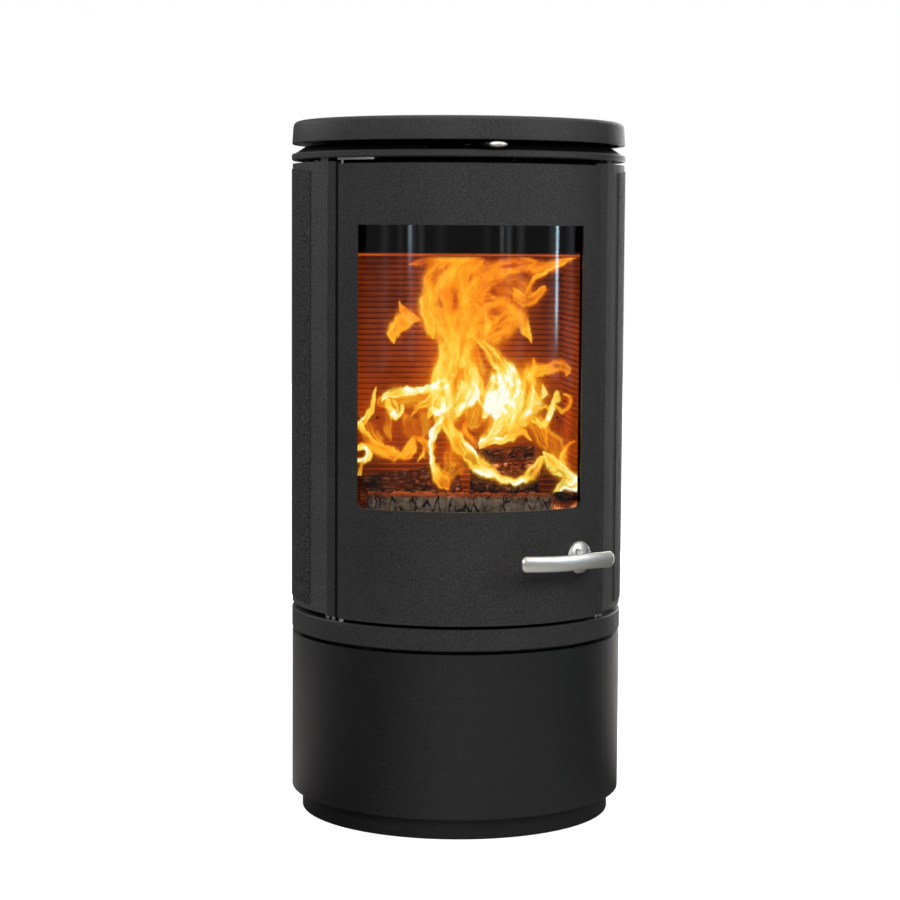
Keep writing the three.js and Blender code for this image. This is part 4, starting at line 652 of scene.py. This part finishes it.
FLAMES = [
    # the plume
    (0.03, 0.85, [(470, 1050, 20, .85), (485, 990, 42, .9), (490, 920, 52, .85), (480, 850, 48, .8),
                  (510, 780, 52, .72), (530, 710, 46, .7), (515, 640, 48, .68), (470, 570, 68, .6),
                  (440, 505, 58, .6), (430, 435, 48, .58), (442, 370, 52, .52), (485, 310, 66, .48),
                  (545, 268, 52, .45), (590, 248, 24, .42)]),
    (0.025, 0.8, [(400, 520, 20, .6), (420, 590, 24, .65), (440, 645, 4, .65)]),
    (0.02, 0.85, [(590, 760, 30, .75), (590, 690, 46, .68), (600, 620, 66, .58), (605, 550, 98, .5),
                  (590, 470, 112, .47), (580, 390, 112, .46), (600, 315, 88, .46), (650, 262, 40, .44)]),
    (0.01, 0.75, [(610, 450, 40, .5), (680, 370, 52, .5), (760, 305, 50, .45), (860, 275, 42, .4),
                  (960, 290, 38, .4), (1060, 268, 24, .45), (1160, 238, 4, .5)]),
    (0.012, 0.45, [(700, 300, 34, .35), (790, 345, 56, .36), (880, 385, 46, .36), (930, 430, 16, .4)]),
    (-0.01, 0.8, [(640, 650, 20, .6), (690, 600, 64, .5), (750, 555, 96, .45), (810, 520, 80, .44),
                  (865, 515, 42, .5), (893, 565, 26, .58), (915, 620, 16, .6), (936, 669, 3, .62)]),
    (-0.012, 0.6, [(665, 452, 6, .55), (705, 430, 15, .5), (765, 442, 16, .46), (825, 470, 14, .46),
                   (872, 512, 12, .5), (892, 556, 8, .5)]),
    (-0.014, 0.7, [(622, 455, 5, .6), (672, 490, 10, .62), (712, 545, 12, .66), (710, 600, 12, .66),
                   (690, 650, 5, .6)]),
    (0.02, 0.6, [(330, 268, 5, .35), (400, 259, 14, .4), (480, 250, 18, .45), (560, 236, 20, .48),
                 (650, 244, 12, .42)]),
    (-0.03, 0.8, [(838, 398, 5, .5), (872, 436, 22, .52), (905, 460, 26, .52), (952, 430, 28, .5),
                  (990, 396, 18, .48), (1002, 374, 4, .45)]),
    (-0.032, 0.7, [(880, 440, 6, .55), (925, 375, 14, .5), (1000, 312, 15, .46), (1080, 266, 10, .5),
                   (1160, 238, 3, .55)]),
    (0.04, 0.7, [(520, 1060, 30, .72), (510, 990, 66, .78), (520, 920, 84, .74), (530, 850, 84, .68),
                 (550, 780, 80, .6), (565, 700, 62, .56), (570, 620, 60, .52), (580, 540, 60, .48)]),
    (0.045, 0.5, [(640, 1060, 40, .62), (650, 980, 74, .66), (650, 900, 84, .62), (640, 820, 70, .55),
                  (630, 740, 44, .5), (620, 660, 30, .46)]),
    (0.05, 0.4, [(760, 1080, 50, .55), (850, 1010, 90, .58), (880, 920, 96, .55), (860, 840, 60, .5),
                 (800, 760, 30, .45)]),
    # small flames at the left
    (-0.01, 0.85, [(252, 665, 3, .6), (240, 622, 20, .55), (268, 576, 36, .5), (312, 542, 38, .48),
                   (360, 546, 16, .45), (388, 552, 3, .4)]),
    (-0.01, 0.8, [(312, 548, 26, .5), (290, 502, 20, .46), (271, 456, 3, .42)]),
    (-0.012, 0.7, [(254, 538, 3, .5), (262, 560, 11, .5), (284, 582, 14, .5)]),
    # white heart and the tongues right of it
    (0.015, 0.9, [(565, 1030, 8, .9), (585, 985, 30, 1.05), (600, 945, 46, 1.15), (625, 895, 46, 1),
                  (640, 845, 38, .85), (625, 790, 26, .75), (600, 740, 12, .7)]),
    (0.012, 0.85, [(705, 1040, 12, 1.05), (700, 1000, 20, 1.05), (680, 940, 28, .95), (665, 880, 28, .85),
                   (645, 820, 20, .75), (620, 760, 8, .7)]),
    (-0.02, 0.95, [(666, 1197, 4, .8), (705, 1152, 24, .85), (762, 1098, 40, .9), (800, 1035, 48, .95),
                   (780, 965, 66, 1.15), (795, 900, 76, 1), (800, 840, 70, .9), (775, 782, 48, .82),
                   (732, 722, 34, .78), (690, 672, 20, .74), (654, 634, 4, .7)]),
    (-0.022, 0.9, [(712, 1010, 12, 1.1), (745, 965, 36, 1.2), (780, 930, 40, 1.1), (800, 880, 20, 1)]),
    (-0.03, 0.85, [(838, 1125, 14, .7), (862, 1060, 46, .8), (885, 995, 72, .82), (905, 925, 76, .8),
                   (905, 865, 56, .72), (905, 818, 34, .62), (955, 792, 34, .52), (1022, 782, 34, .48),
                   (1080, 776, 26, .5), (1112, 800, 15, .55), (1105, 830, 3, .55)]),
    (-0.02, 0.8, [(925, 840, 26, .6), (945, 785, 18, .55), (950, 736, 3, .5)]),
    (-0.05, 0.85, [(950, 1050, 6, .8), (975, 1072, 16, .85), (1012, 1045, 14, .85), (1020, 1008, 9, .85),
                   (985, 985, 9, .8), (950, 1005, 7, .75)]),
    (-0.055, 0.8, [(1015, 1040, 12, .8), (1035, 985, 15, .8), (1052, 940, 13, .75), (1050, 908, 4, .7)]),
    (-0.055, 0.7, [(1040, 972, 8, .7), (1072, 1000, 13, .65), (1108, 985, 11, .6), (1118, 940, 8, .55),
                   (1085, 908, 3, .5)]),
    (-0.06, 0.85, [(975, 946, 3, .8), (1000, 916, 11, .85), (990, 880, 3, .75)]),
    (-0.045, 0.55, [(940, 1060, 30, .6), (985, 1110, 46, .55), (1035, 1170, 52, .52), (1075, 1240, 42, .5),
                    (1100, 1300, 12, .5)]),
    (-0.07, 0.8, [(1096, 1300, 4, .6), (1086, 1245, 13, .66), (1102, 1195, 13, .66), (1142, 1153, 3, .6)]),
    (-0.068, 0.6, [(1018, 1180, 5, .6), (1000, 1130, 10, .62), (975, 1090, 10, .62), (950, 1060, 5, .6)]),
    # the sweep in front of the logs
    (-0.075, 0.95, [(490, 1040, 20, .9), (528, 1092, 28, .82), (565, 1155, 32, .8), (615, 1225, 32, .8),
                    (685, 1288, 34, .78), (760, 1330, 25, .82), (838, 1352, 17, .85), (900, 1340, 22, .85),
                    (948, 1300, 25, .82), (978, 1255, 22, .82), (988, 1232, 8, .85)]),
    (-0.078, 0.95, [(984, 1228, 6, .85), (1030, 1262, 26, .9), (1080, 1306, 30, 1), (1130, 1332, 28, 1.1),
                    (1185, 1340, 24, 1.15)]),
    (-0.08, 0.9, [(1052, 1445, 4, .75), (1062, 1400, 16, .9), (1104, 1370, 22, 1.05), (1185, 1376, 22, 1.1)]),
    (-0.07, 0.9, [(478, 1045, 22, .9), (446, 1105, 20, .88), (432, 1170, 15, .92), (442, 1232, 15, .85),
                  (462, 1290, 22, .7), (488, 1340, 30, .6), (514, 1388, 8, .55)]),
    (-0.068, 0.35, [(520, 1070, 26, .5), (545, 1140, 32, .42), (530, 1215, 40, .4), (545, 1290, 44, .45),
                    (505, 1350, 26, .55)]),
    (-0.05, 0.9, [(698, 1197, 4, .7), (738, 1166, 16, .78), (798, 1140, 20, .78), (862, 1112, 18, .74),
                  (905, 1122, 13, .66), (940, 1152, 3, .6)]),
    # the band over the air holes, and what drops from it
    (0.05, 0.95, [(188, 962, 8, .85), (212, 926, 17, 1.0), (282, 908, 18, 1.02), (360, 908, 18, .98),
                  (432, 903, 22, 1.0), (492, 866, 24, .9)]),
    (0.05, 0.5, [(200, 960, 26, .55), (290, 955, 34, .55), (380, 960, 34, .58), (450, 965, 30, .65)]),
    (0.045, 0.9, [(194, 945, 9, .85), (206, 988, 13, .9), (232, 1018, 13, .95), (263, 1036, 9, .95),
                  (283, 1010, 8, .9), (272, 978, 4, .8)]),
    (0.045, 0.85, [(236, 950, 6, .9), (252, 990, 9, 1), (264, 1018, 4, .95)]),
    (0.045, 0.85, [(333, 1026, 3, .8), (345, 992, 12, .85), (390, 960, 18, .85), (442, 930, 20, .9)]),
    (0.04, 0.9, [(425, 1035, 4, .85), (440, 1005, 13, .9), (472, 1020, 14, 1.05), (496, 1000, 14, 1),
                 (488, 955, 12, .9)]),
    (0.05, 0.42, [(212, 1035, 16, .6), (216, 1085, 22, .5), (222, 1150, 6, .42)]),
    (0.05, 0.3, [(300, 1030, 20, .5), (328, 1085, 34, .42), (345, 1150, 10, .38)]),
    (0.05, 0.36, [(402, 1040, 28, .58), (394, 1100, 28, .48), (380, 1155, 10, .4)]),
    (0.03, 0.6, [(600, 1080, 4, .5), (612, 1115, 13, .52), (640, 1155, 15, .5), (650, 1190, 3, .45)]),
    (0.03, 0.45, [(556, 1190, 4, .42), (568, 1145, 20, .44), (590, 1100, 16, .46), (600, 1062, 5, .5)]),
    # low flames at the left
    (-0.02, 0.9, [(66, 1088, 8, .85), (98, 1042, 17, .82), (128, 990, 16, .76), (150, 938, 13, .72),
                  (166, 893, 5, .66)]),
    (-0.02, 0.8, [(66, 1068, 8, .8), (94, 1118, 15, .72), (122, 1165, 22, .62), (172, 1195, 32, .56),
                  (232, 1216, 30, .54), (290, 1236, 12, .5)]),
    (-0.02, 0.4, [(120, 1060, 14, .5), (140, 1110, 26, .46), (170, 1160, 30, .46)]),
    (-0.025, 0.8, [(266, 1188, 3, .5), (284, 1214, 15, .56), (322, 1226, 18, .56), (352, 1200, 8, .55)]),
    (-0.03, 0.85, [(252, 1256, 4, .6), (296, 1226, 20, .62), (332, 1184, 25, .6), (352, 1148, 12, .58),
                   (360, 1132, 3, .55)]),
    (-0.03, 0.7, [(352, 1148, 8, .55), (388, 1162, 24, .54), (420, 1178, 26, .56), (444, 1160, 8, .6)]),
    (-0.03, 0.7, [(392, 1200, 10, .6), (384, 1232, 9, .6), (366, 1262, 3, .55)]),
    (-0.04, 0.85, [(60, 1184, 12, .8), (95, 1180, 14, .82), (114, 1210, 13, .82), (95, 1244, 15, .8),
                   (60, 1240, 11, .8)]),
    (-0.045, 0.8, [(82, 1258, 5, .75), (69, 1300, 9, .8), (64, 1348, 3, .75)]),
]


def spline(points, steps):
    """Catmull-Rom through rows of numbers."""
    rows = [points[0], *points, points[-1]]
    found = []
    for before, start, end, after in zip(rows, rows[1:], rows[2:], rows[3:]):
        for k in range(steps):
            t = k / steps
            found.append([0.5 * (2 * b + (c - a) * t + (2 * a - 5 * b + 4 * c - d) * t * t
                                 + (3 * b - a - 3 * c + d) * t ** 3)
                          for a, b, c, d in zip(before, start, end, after)])
    found.append(list(points[-1]))
    return found


def in_firebox(x, y, depth):
    """Where a window point burns: at that depth, but clear of the right lining and the baffle."""
    place = seen_at(x, y, depth)
    if place.x > FLAME_SIDE:
        slope = (place.x - EYE.x) / (place.y - EYE.y)
        place = seen_at(x, y, EYE.y + (FLAME_SIDE - EYE.x) / slope)
    place.z = min(place.z, FLAME_TOP)
    return place


def lattice(x, y, seed):
    """Smooth noise from 0 to 1 over unit cells, with a finer octave on it."""
    total = 0.0
    for octave, share in ((0, 0.66), (1, 0.34)):
        table = np.random.default_rng(seed + octave).random((64, 64))
        across, down = x * 2.1 ** octave, y * 2.1 ** octave
        column, row = np.floor(across).astype(int), np.floor(down).astype(int)
        fx, fy = across - column, down - row
        fx, fy = fx * fx * (3 - 2 * fx), fy * fy * (3 - 2 * fy)
        upper = table[row % 64, column % 64] * (1 - fx) + table[row % 64, (column + 1) % 64] * fx
        lower = table[(row + 1) % 64, column % 64] * (1 - fx) + table[(row + 1) % 64, (column + 1) % 64] * fx
        total = total + share * (upper * (1 - fy) + lower * fy)
    return total


def falloff(value, full, none):
    t = np.clip((none - value) / (none - full), 0, 1)
    return t * t * (3 - 2 * t)


def pushed(place, x, y, seed):
    """One coordinate of window points, pushed about by noise in three sizes."""
    for number, (reach, across, down) in enumerate(FLAME_WARPS):
        place = place + reach * (lattice(x / across, y / down, seed + 2 * number) - 0.5)
    return place


def burn(x, y, cover, points, seed):
    """One flame's cover and glow at window points: a soft body, streaks along its flow, bright
    rims and threads, and a thin veil round it."""
    line = np.array(spline(points, FLAME_STEPS))
    steps = np.hypot(*np.diff(line[:, :2], axis=0).T)
    length = np.concatenate([[0], np.cumsum(steps)])
    ahead = np.gradient(line[:, :2], axis=0)
    ahead /= np.maximum(np.hypot(*ahead.T), 1e-6)[:, None]
    half = np.maximum(line[:, 2], 2.5) * FLAME_SPREAD
    x, y = pushed(x, x, y, seed), pushed(y, x, y, seed + 6)
    dx, dy = x[:, None] - line[:, 0], y[:, None] - line[:, 1]
    far = (dx * dx + dy * dy) / (half * half)
    near = np.argmin(far, axis=1)
    rows = np.arange(len(x))
    off = np.sqrt(far[rows, near])
    along = length[near] + (dx[rows, near] * ahead[near, 0] + dy[rows, near] * ahead[near, 1])
    side = (dy[rows, near] * ahead[near, 0] - dx[rows, near] * ahead[near, 1]) / half[near]
    heat = line[near, 3]
    width = np.clip(half[near] / 45, 0.25, 2.2)
    streak = lattice(along / 85 + 9, side * 1.6 * width + 20, seed + 6)
    fine = lattice(along / 60 + 5, side * 4.0 * width + 30, seed + 8)
    thread = falloff(np.abs(lattice(along / 150 + 3, side * 1.5 * width + 40, seed + 10) - 0.5), 0.0, 0.08)
    rim = np.exp(-((off - 0.7 - 0.3 * (fine - 0.5)) / 0.17) ** 2) * falloff(
        lattice(along / 95, np.sign(side) * 3 + 50, seed + 12), 0.6, 0.35)
    soft = max(0.0, 0.75 - cover)
    body = falloff(off, 0.35 - 0.9 * soft, 1.15 + 0.4 * soft)
    veil = falloff(off, 0.5, 2.0)
    open_here = np.clip(1.9 * streak + 0.08, 0.1, 1.05)
    amount = cover * body * open_here + 0.55 * rim * body + 0.28 * thread * body + 0.14 * veil
    glow = heat * (0.5 + 0.75 * streak + 0.3 * (fine - 0.5)) * (0.62 + 0.43 * body)
    return np.clip(amount, 0, 0.97), glow + 0.3 * rim * heat + 0.2 * thread * body * heat


def layer(rows, grid_x, grid_y):
    """Flames one over the other: their cover, glow and depth at each point of the grid."""
    clear, fed, heated, sunk = (np.full(grid_x.shape, start) for start in (1.0, 1e-6, 0.0, 0.0))
    for index, (depth, cover, points) in rows:
        reach = 2.0 * FLAME_SPREAD * max(point[2] for point in points) + FLAME_MARGIN
        low_x, high_x = min(p[0] for p in points) - reach, max(p[0] for p in points) + reach
        low_y, high_y = min(p[1] for p in points) - reach, max(p[1] for p in points) + reach
        here = (grid_x > low_x) & (grid_x < high_x) & (grid_y > low_y) & (grid_y < high_y)
        amount, glow = burn(grid_x[here], grid_y[here], cover, points, 20 * index)
        clear[here] *= 1 - amount
        fed[here] += amount
        heated[here] += amount * glow
        sunk[here] += amount * depth
    shown = (1 - clear) * falloff(grid_y, *FLAME_CEILING)
    return shown, heated / fed * (1 + 0.12 * np.clip(fed - 1, 0, 1.5)), sunk / fed


def add_sheet(name, grid_x, grid_y, shown, glow, depth):
    """A mesh wherever its flames cover anything, each point at the depth that they burn at."""
    cells = shown[:-1, :-1] + shown[1:, :-1] + shown[:-1, 1:] + shown[1:, 1:] > FLAME_LEAST
    used = np.zeros(shown.shape, bool)
    for j, i in ((0, 0), (1, 0), (0, 1), (1, 1)):
        used[j:used.shape[0] - 1 + j, i:used.shape[1] - 1 + i] |= cells
    number = np.cumsum(used).reshape(used.shape) - 1
    corners = [number[:-1, :-1], number[:-1, 1:], number[1:, 1:], number[1:, :-1]]
    faces = np.stack([corner[cells] for corner in corners], axis=1).tolist()
    places = [in_firebox(WINDOW_CORNER[0] + x * WINDOW_UNIT, WINDOW_CORNER[1] + y * WINDOW_UNIT, d)
              for x, y, d in zip(grid_x[used].tolist(), grid_y[used].tolist(), depth[used].tolist())]
    mesh = bpy.data.meshes.new(name)
    mesh.from_pydata(places, [], faces)
    for key, values in (("glow", glow[used]), ("cover", shown[used])):
        mesh.attributes.new(key, "FLOAT", "POINT").data.foreach_set("value", values.tolist())
    mesh.materials.append(MATERIALS["flame"])
    piece = placed(name, mesh)
    piece.visible_shadow = piece.visible_diffuse = False
    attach(piece, "stove")


def add_flames():
    grid_x, grid_y = np.meshgrid(*(np.arange(FLAME_START, end, FLAME_GRID) for end in FLAME_SPAN))
    nearest = math.inf
    for key, farthest in SHEETS:
        rows = [(index, row) for index, row in enumerate(FLAMES) if farthest < row[0] <= nearest]
        add_sheet("flames_" + key, grid_x, grid_y, *layer(rows, grid_x, grid_y))
        nearest = farthest


# ------------------------------ studio
def add_area(name, place, aim, size, energy):
    data = bpy.data.lights.new(name, "AREA")
    data.shape = "RECTANGLE"
    data.size, data.size_y = size
    data.energy = energy
    lamp = placed(name, data)
    lamp.location = place
    lamp.rotation_euler = (Vector(aim) - Vector(place)).to_track_quat("-Z", "Y").to_euler()
    lamp.visible_camera = False


def around(azimuth, radius, height):
    """A place round the stove: azimuth 0 is the camera's side, positive to the picture's right."""
    a = math.radians(azimuth)
    return to_stove((radius * math.sin(a), -radius * math.cos(a), height))


def add_studio():
    middle = (0, 0, 0.5)
    add_area("front_box", around(-5, 3.5, 2.4), middle, (1.8, 1.4), 54)
    add_area("left_front_box", around(-58, 2.8, 1.9), middle, (0.9, 0.9), 13)
    add_area("right_front_box", around(62, 2.6, 1.75), (0, 0, 0.8), (1.0, 1.0), 26)
    add_area("right_rear_box", around(163, 2.4, 0.9), middle, (0.7, 2.2), 24)
    add_area("right_side_box", around(149, 2.4, 0.9), middle, (0.5, 1.7), 11)
    add_area("left_rear_box", around(-118, 2.4, 1.8), (0, 0, 0.85), (1.0, 1.0), 12)
    add_area("top_box", (0.2, 0.6, 3.0), (0, 0, 0.9), (2.0, 2.0), 22)


def add_fire_light():
    """Small warm lamps among the logs and flames, unseen themselves."""
    for name, place, energy, size in (
            ("fire_low", (0.0, 0.03, 0.52), 0.66, 0.045), ("fire_mid", (0.02, 0.02, 0.58), 0.45, 0.05),
            ("fire_high", (0.01, 0.0, 0.69), 0.07, 0.03), ("fire_left", (-0.09, 0.01, 0.5), 0.4, 0.035),
            ("fire_right", (0.1, 0.02, 0.5), 0.34, 0.03), ("fire_front", (0.0, -0.125, 0.505), 0.28, 0.02)):
        data = bpy.data.lights.new(name, "POINT")
        data.energy, data.shadow_soft_size, data.color = energy, size, (1.0, 0.25, 0.025)
        lamp = placed(name, data)
        lamp.location = place
        lamp.visible_camera = lamp.visible_glossy = lamp.visible_transmission = False


# Bright strips of the studio that the curved glass mirrors: direction round the stove from the
# camera's side, half width and lowest elevation in degrees, brightness and blueness.
STRIPS = [
    (-53, 5, -12, 0.16, 0), (-41, 3, -12, 0.14, 0), (-34, 2, -0.6, 1.9, 0.25), (-33, 4, -3, 0.35, 0.15),
    (-26, 3.5, -2.5, 0.22, 0.05), (-12, 5, -12, 0.09, 0.05), (20, 4, -12, 0.07, 0),
    (31, 2.2, -0.7, 0.65, 0.05), (36, 3, -1.3, 0.42, 0.08), (45, 4, -12, 0.22, 0.05),
    (72, 6, -12, 0.32, 0.05), (74.5, 1.5, -2.2, 9, 0.3), (91, 9, -12, 0.27, 0.1), (104, 5, -12, 0.2, 0.05),
]
STRIP_TOP = (12, 20)      # elevations over which every strip ends
WALL_LIGHT, CEILING_LIGHT, BACKDROP_LIGHT = 0.09, 0.5, 0.9
CEILING_FROM, BACKDROP_FROM = (8, 50), (160, 178)  # elevations and bearings over which they begin
STRIP_FADE = 0.8          # degrees over which a strip fades out at its foot


def add_world():
    """White where the camera sees it, also through the glass; dim, with bright strips, where mirrored."""
    world = bpy.data.worlds.new("studio")
    bpy.context.scene.world = world
    world.use_nodes = True
    w = Nodes(world.node_tree)
    direction = w.add("ShaderNodeTexCoord").outputs["Generated"]
    right, back, up = (w.vector("DOT_PRODUCT", {0: direction, 1: to_stove(axis)}, "Value")
                       for axis in ((1, 0, 0), (0, 1, 0), (0, 0, 1)))
    elevation = w.math("MULTIPLY", w.math("ARCSINE", up), 180 / math.pi)
    bearing = w.math("MULTIPLY", w.bearing(right, back), 180 / math.pi)

    def fade(value, low, high):
        return w.span(value, low, high, interpolation_type="SMOOTHSTEP")

    backdrop = fade(w.math("ABSOLUTE", bearing), *BACKDROP_FROM)
    level = w.math("ADD", WALL_LIGHT, w.math("MULTIPLY", backdrop, BACKDROP_LIGHT - WALL_LIGHT))
    ceiling = fade(elevation, *CEILING_FROM)
    level = w.math("ADD", level, w.math("MULTIPLY", ceiling, CEILING_LIGHT - WALL_LIGHT))
    blue = 0.0
    for centre, half, foot, bright, blueness in STRIPS:
        off = w.math("ABSOLUTE", w.math("SUBTRACT", bearing, centre))
        band = w.math("SUBTRACT", 1.0, w.math("DIVIDE", off, half), use_clamp=True)
        band = w.math("MULTIPLY", band, fade(elevation, foot - STRIP_FADE, foot + STRIP_FADE))
        band = w.math("MULTIPLY", band, w.math("SUBTRACT", 1.0, fade(elevation, *STRIP_TOP)))
        level = w.math("ADD", level, w.math("MULTIPLY", band, bright))
        blue = w.math("ADD", blue, w.math("MULTIPLY", band, bright * blueness))
    mirrored = w.add("ShaderNodeCombineColor", {
        index: w.math("ADD", level, w.math("MULTIPLY", blue, change))
        for index, change in enumerate((-1.0, 0.2, 1.0))}).outputs[0]
    path = w.add("ShaderNodeLightPath").outputs
    bounces = w.math("ADD", path["Diffuse Depth"], path["Glossy Depth"])
    through = w.math("MULTIPLY", path["Is Transmission Ray"], w.math("LESS_THAN", bounces, 0.5))
    colour = w.mix(w.math("MAXIMUM", path["Is Camera Ray"], through), mirrored, (1, 1, 1))
    background = w.add("ShaderNodeBackground", {"Color": colour})
    w.add("ShaderNodeOutputWorld", {"Surface": background.outputs[0]})


# How light the floor is painted in each direction round the stove, a painted light and shade of the
# studio as mirrored in the pedestal: pairs of a direction from the camera's side, as a share of the turn
# from behind on the left, and a level.
FLOOR_TONES = [(0.0, 0.35), (0.1, 0.25), (0.19, 0.45), (0.3, 0.1), (0.37, 0.1), (0.5, 0.68), (0.6, 0.45),
               (0.7, 0.2), (0.8, 0.02), (0.86, 0.4), (0.92, 0.9), (1.0, 0.9)]
PAINTED_LIGHT_REACH = (1.3, 2.6)  # metres over which the lit part of the floor ends, where mirrored: painted darker beyond
PAINTED_SHADOW_REACH = (0.3, 1.1)  # metres over which its painted shadow thins out: the camera's white is dimmed near the stove
FLOOR_HALF = 9
FLOOR_DROP = 0.0004       # keeps it clear of the plinth's foot


def add_floor():
    """White to the camera, with a soft shadow, rendered and also painted by dimming its white near the
    stove, and painted in tones by direction, and darker far off, where it is mirrored.
    """
    mesh = bpy.data.meshes.new("floor")
    corners = [(x * FLOOR_HALF, y * FLOOR_HALF, 0) for x, y in ((-1, -1), (1, -1), (1, 1), (-1, 1))]
    mesh.from_pydata(corners, [], [(0, 1, 2, 3)])
    floor = placed("floor", mesh)
    floor.location.z = -FLOOR_DROP
    s = Shader("floor", Roughness=0.9, Specular_IOR_Level=0.1)
    far = s.vector("LENGTH", {0: s.place}, "Value")
    turned = {"Vector": s.place, "Angle": TURN}
    plan = s.axes(s.add("ShaderNodeVectorRotate", turned, rotation_type="Z_AXIS").outputs[0])
    tone = s.ramp(s.span(s.bearing(plan["X"], plan["Y"]), -math.pi, math.pi),
                  [(share, warm_grey(level, 0.03)) for share, level in FLOOR_TONES])
    cloudy = s.mix(s.swing(s.noise(1.5, 3.0), 0.0, 0.06), tone, (0.0, 0.0, 0.0))
    seen = s.add("ShaderNodeLightPath").outputs["Is Camera Ray"]
    # painted light: the floor as mirrored is toned by direction and painted darker far off, where its lit part
    # ends
    mirrored = s.mix(s.span(far, *PAINTED_LIGHT_REACH), cloudy, (0.1, 0.1, 0.1))
    s.feed("Base Color", s.mix(seen, mirrored, (0.6, 0.6, 0.6)))
    s.feed("Emission Color", (1, 1, 1, 1))
    # painted shadow: the camera's white is weaker near the stove
    s.feed("Emission Strength", s.math("MULTIPLY", seen, s.span(far, *PAINTED_SHADOW_REACH, 0.8, 1.0)))
    mesh.materials.append(s.material)


bpy.context.scene.view_settings.view_transform = "Standard"
add_camera()
dress_frame()
add_lever()
for log in LOGS:
    dress_log(*log)
add_flames()
add_studio()
add_fire_light()
add_world()
add_floor()
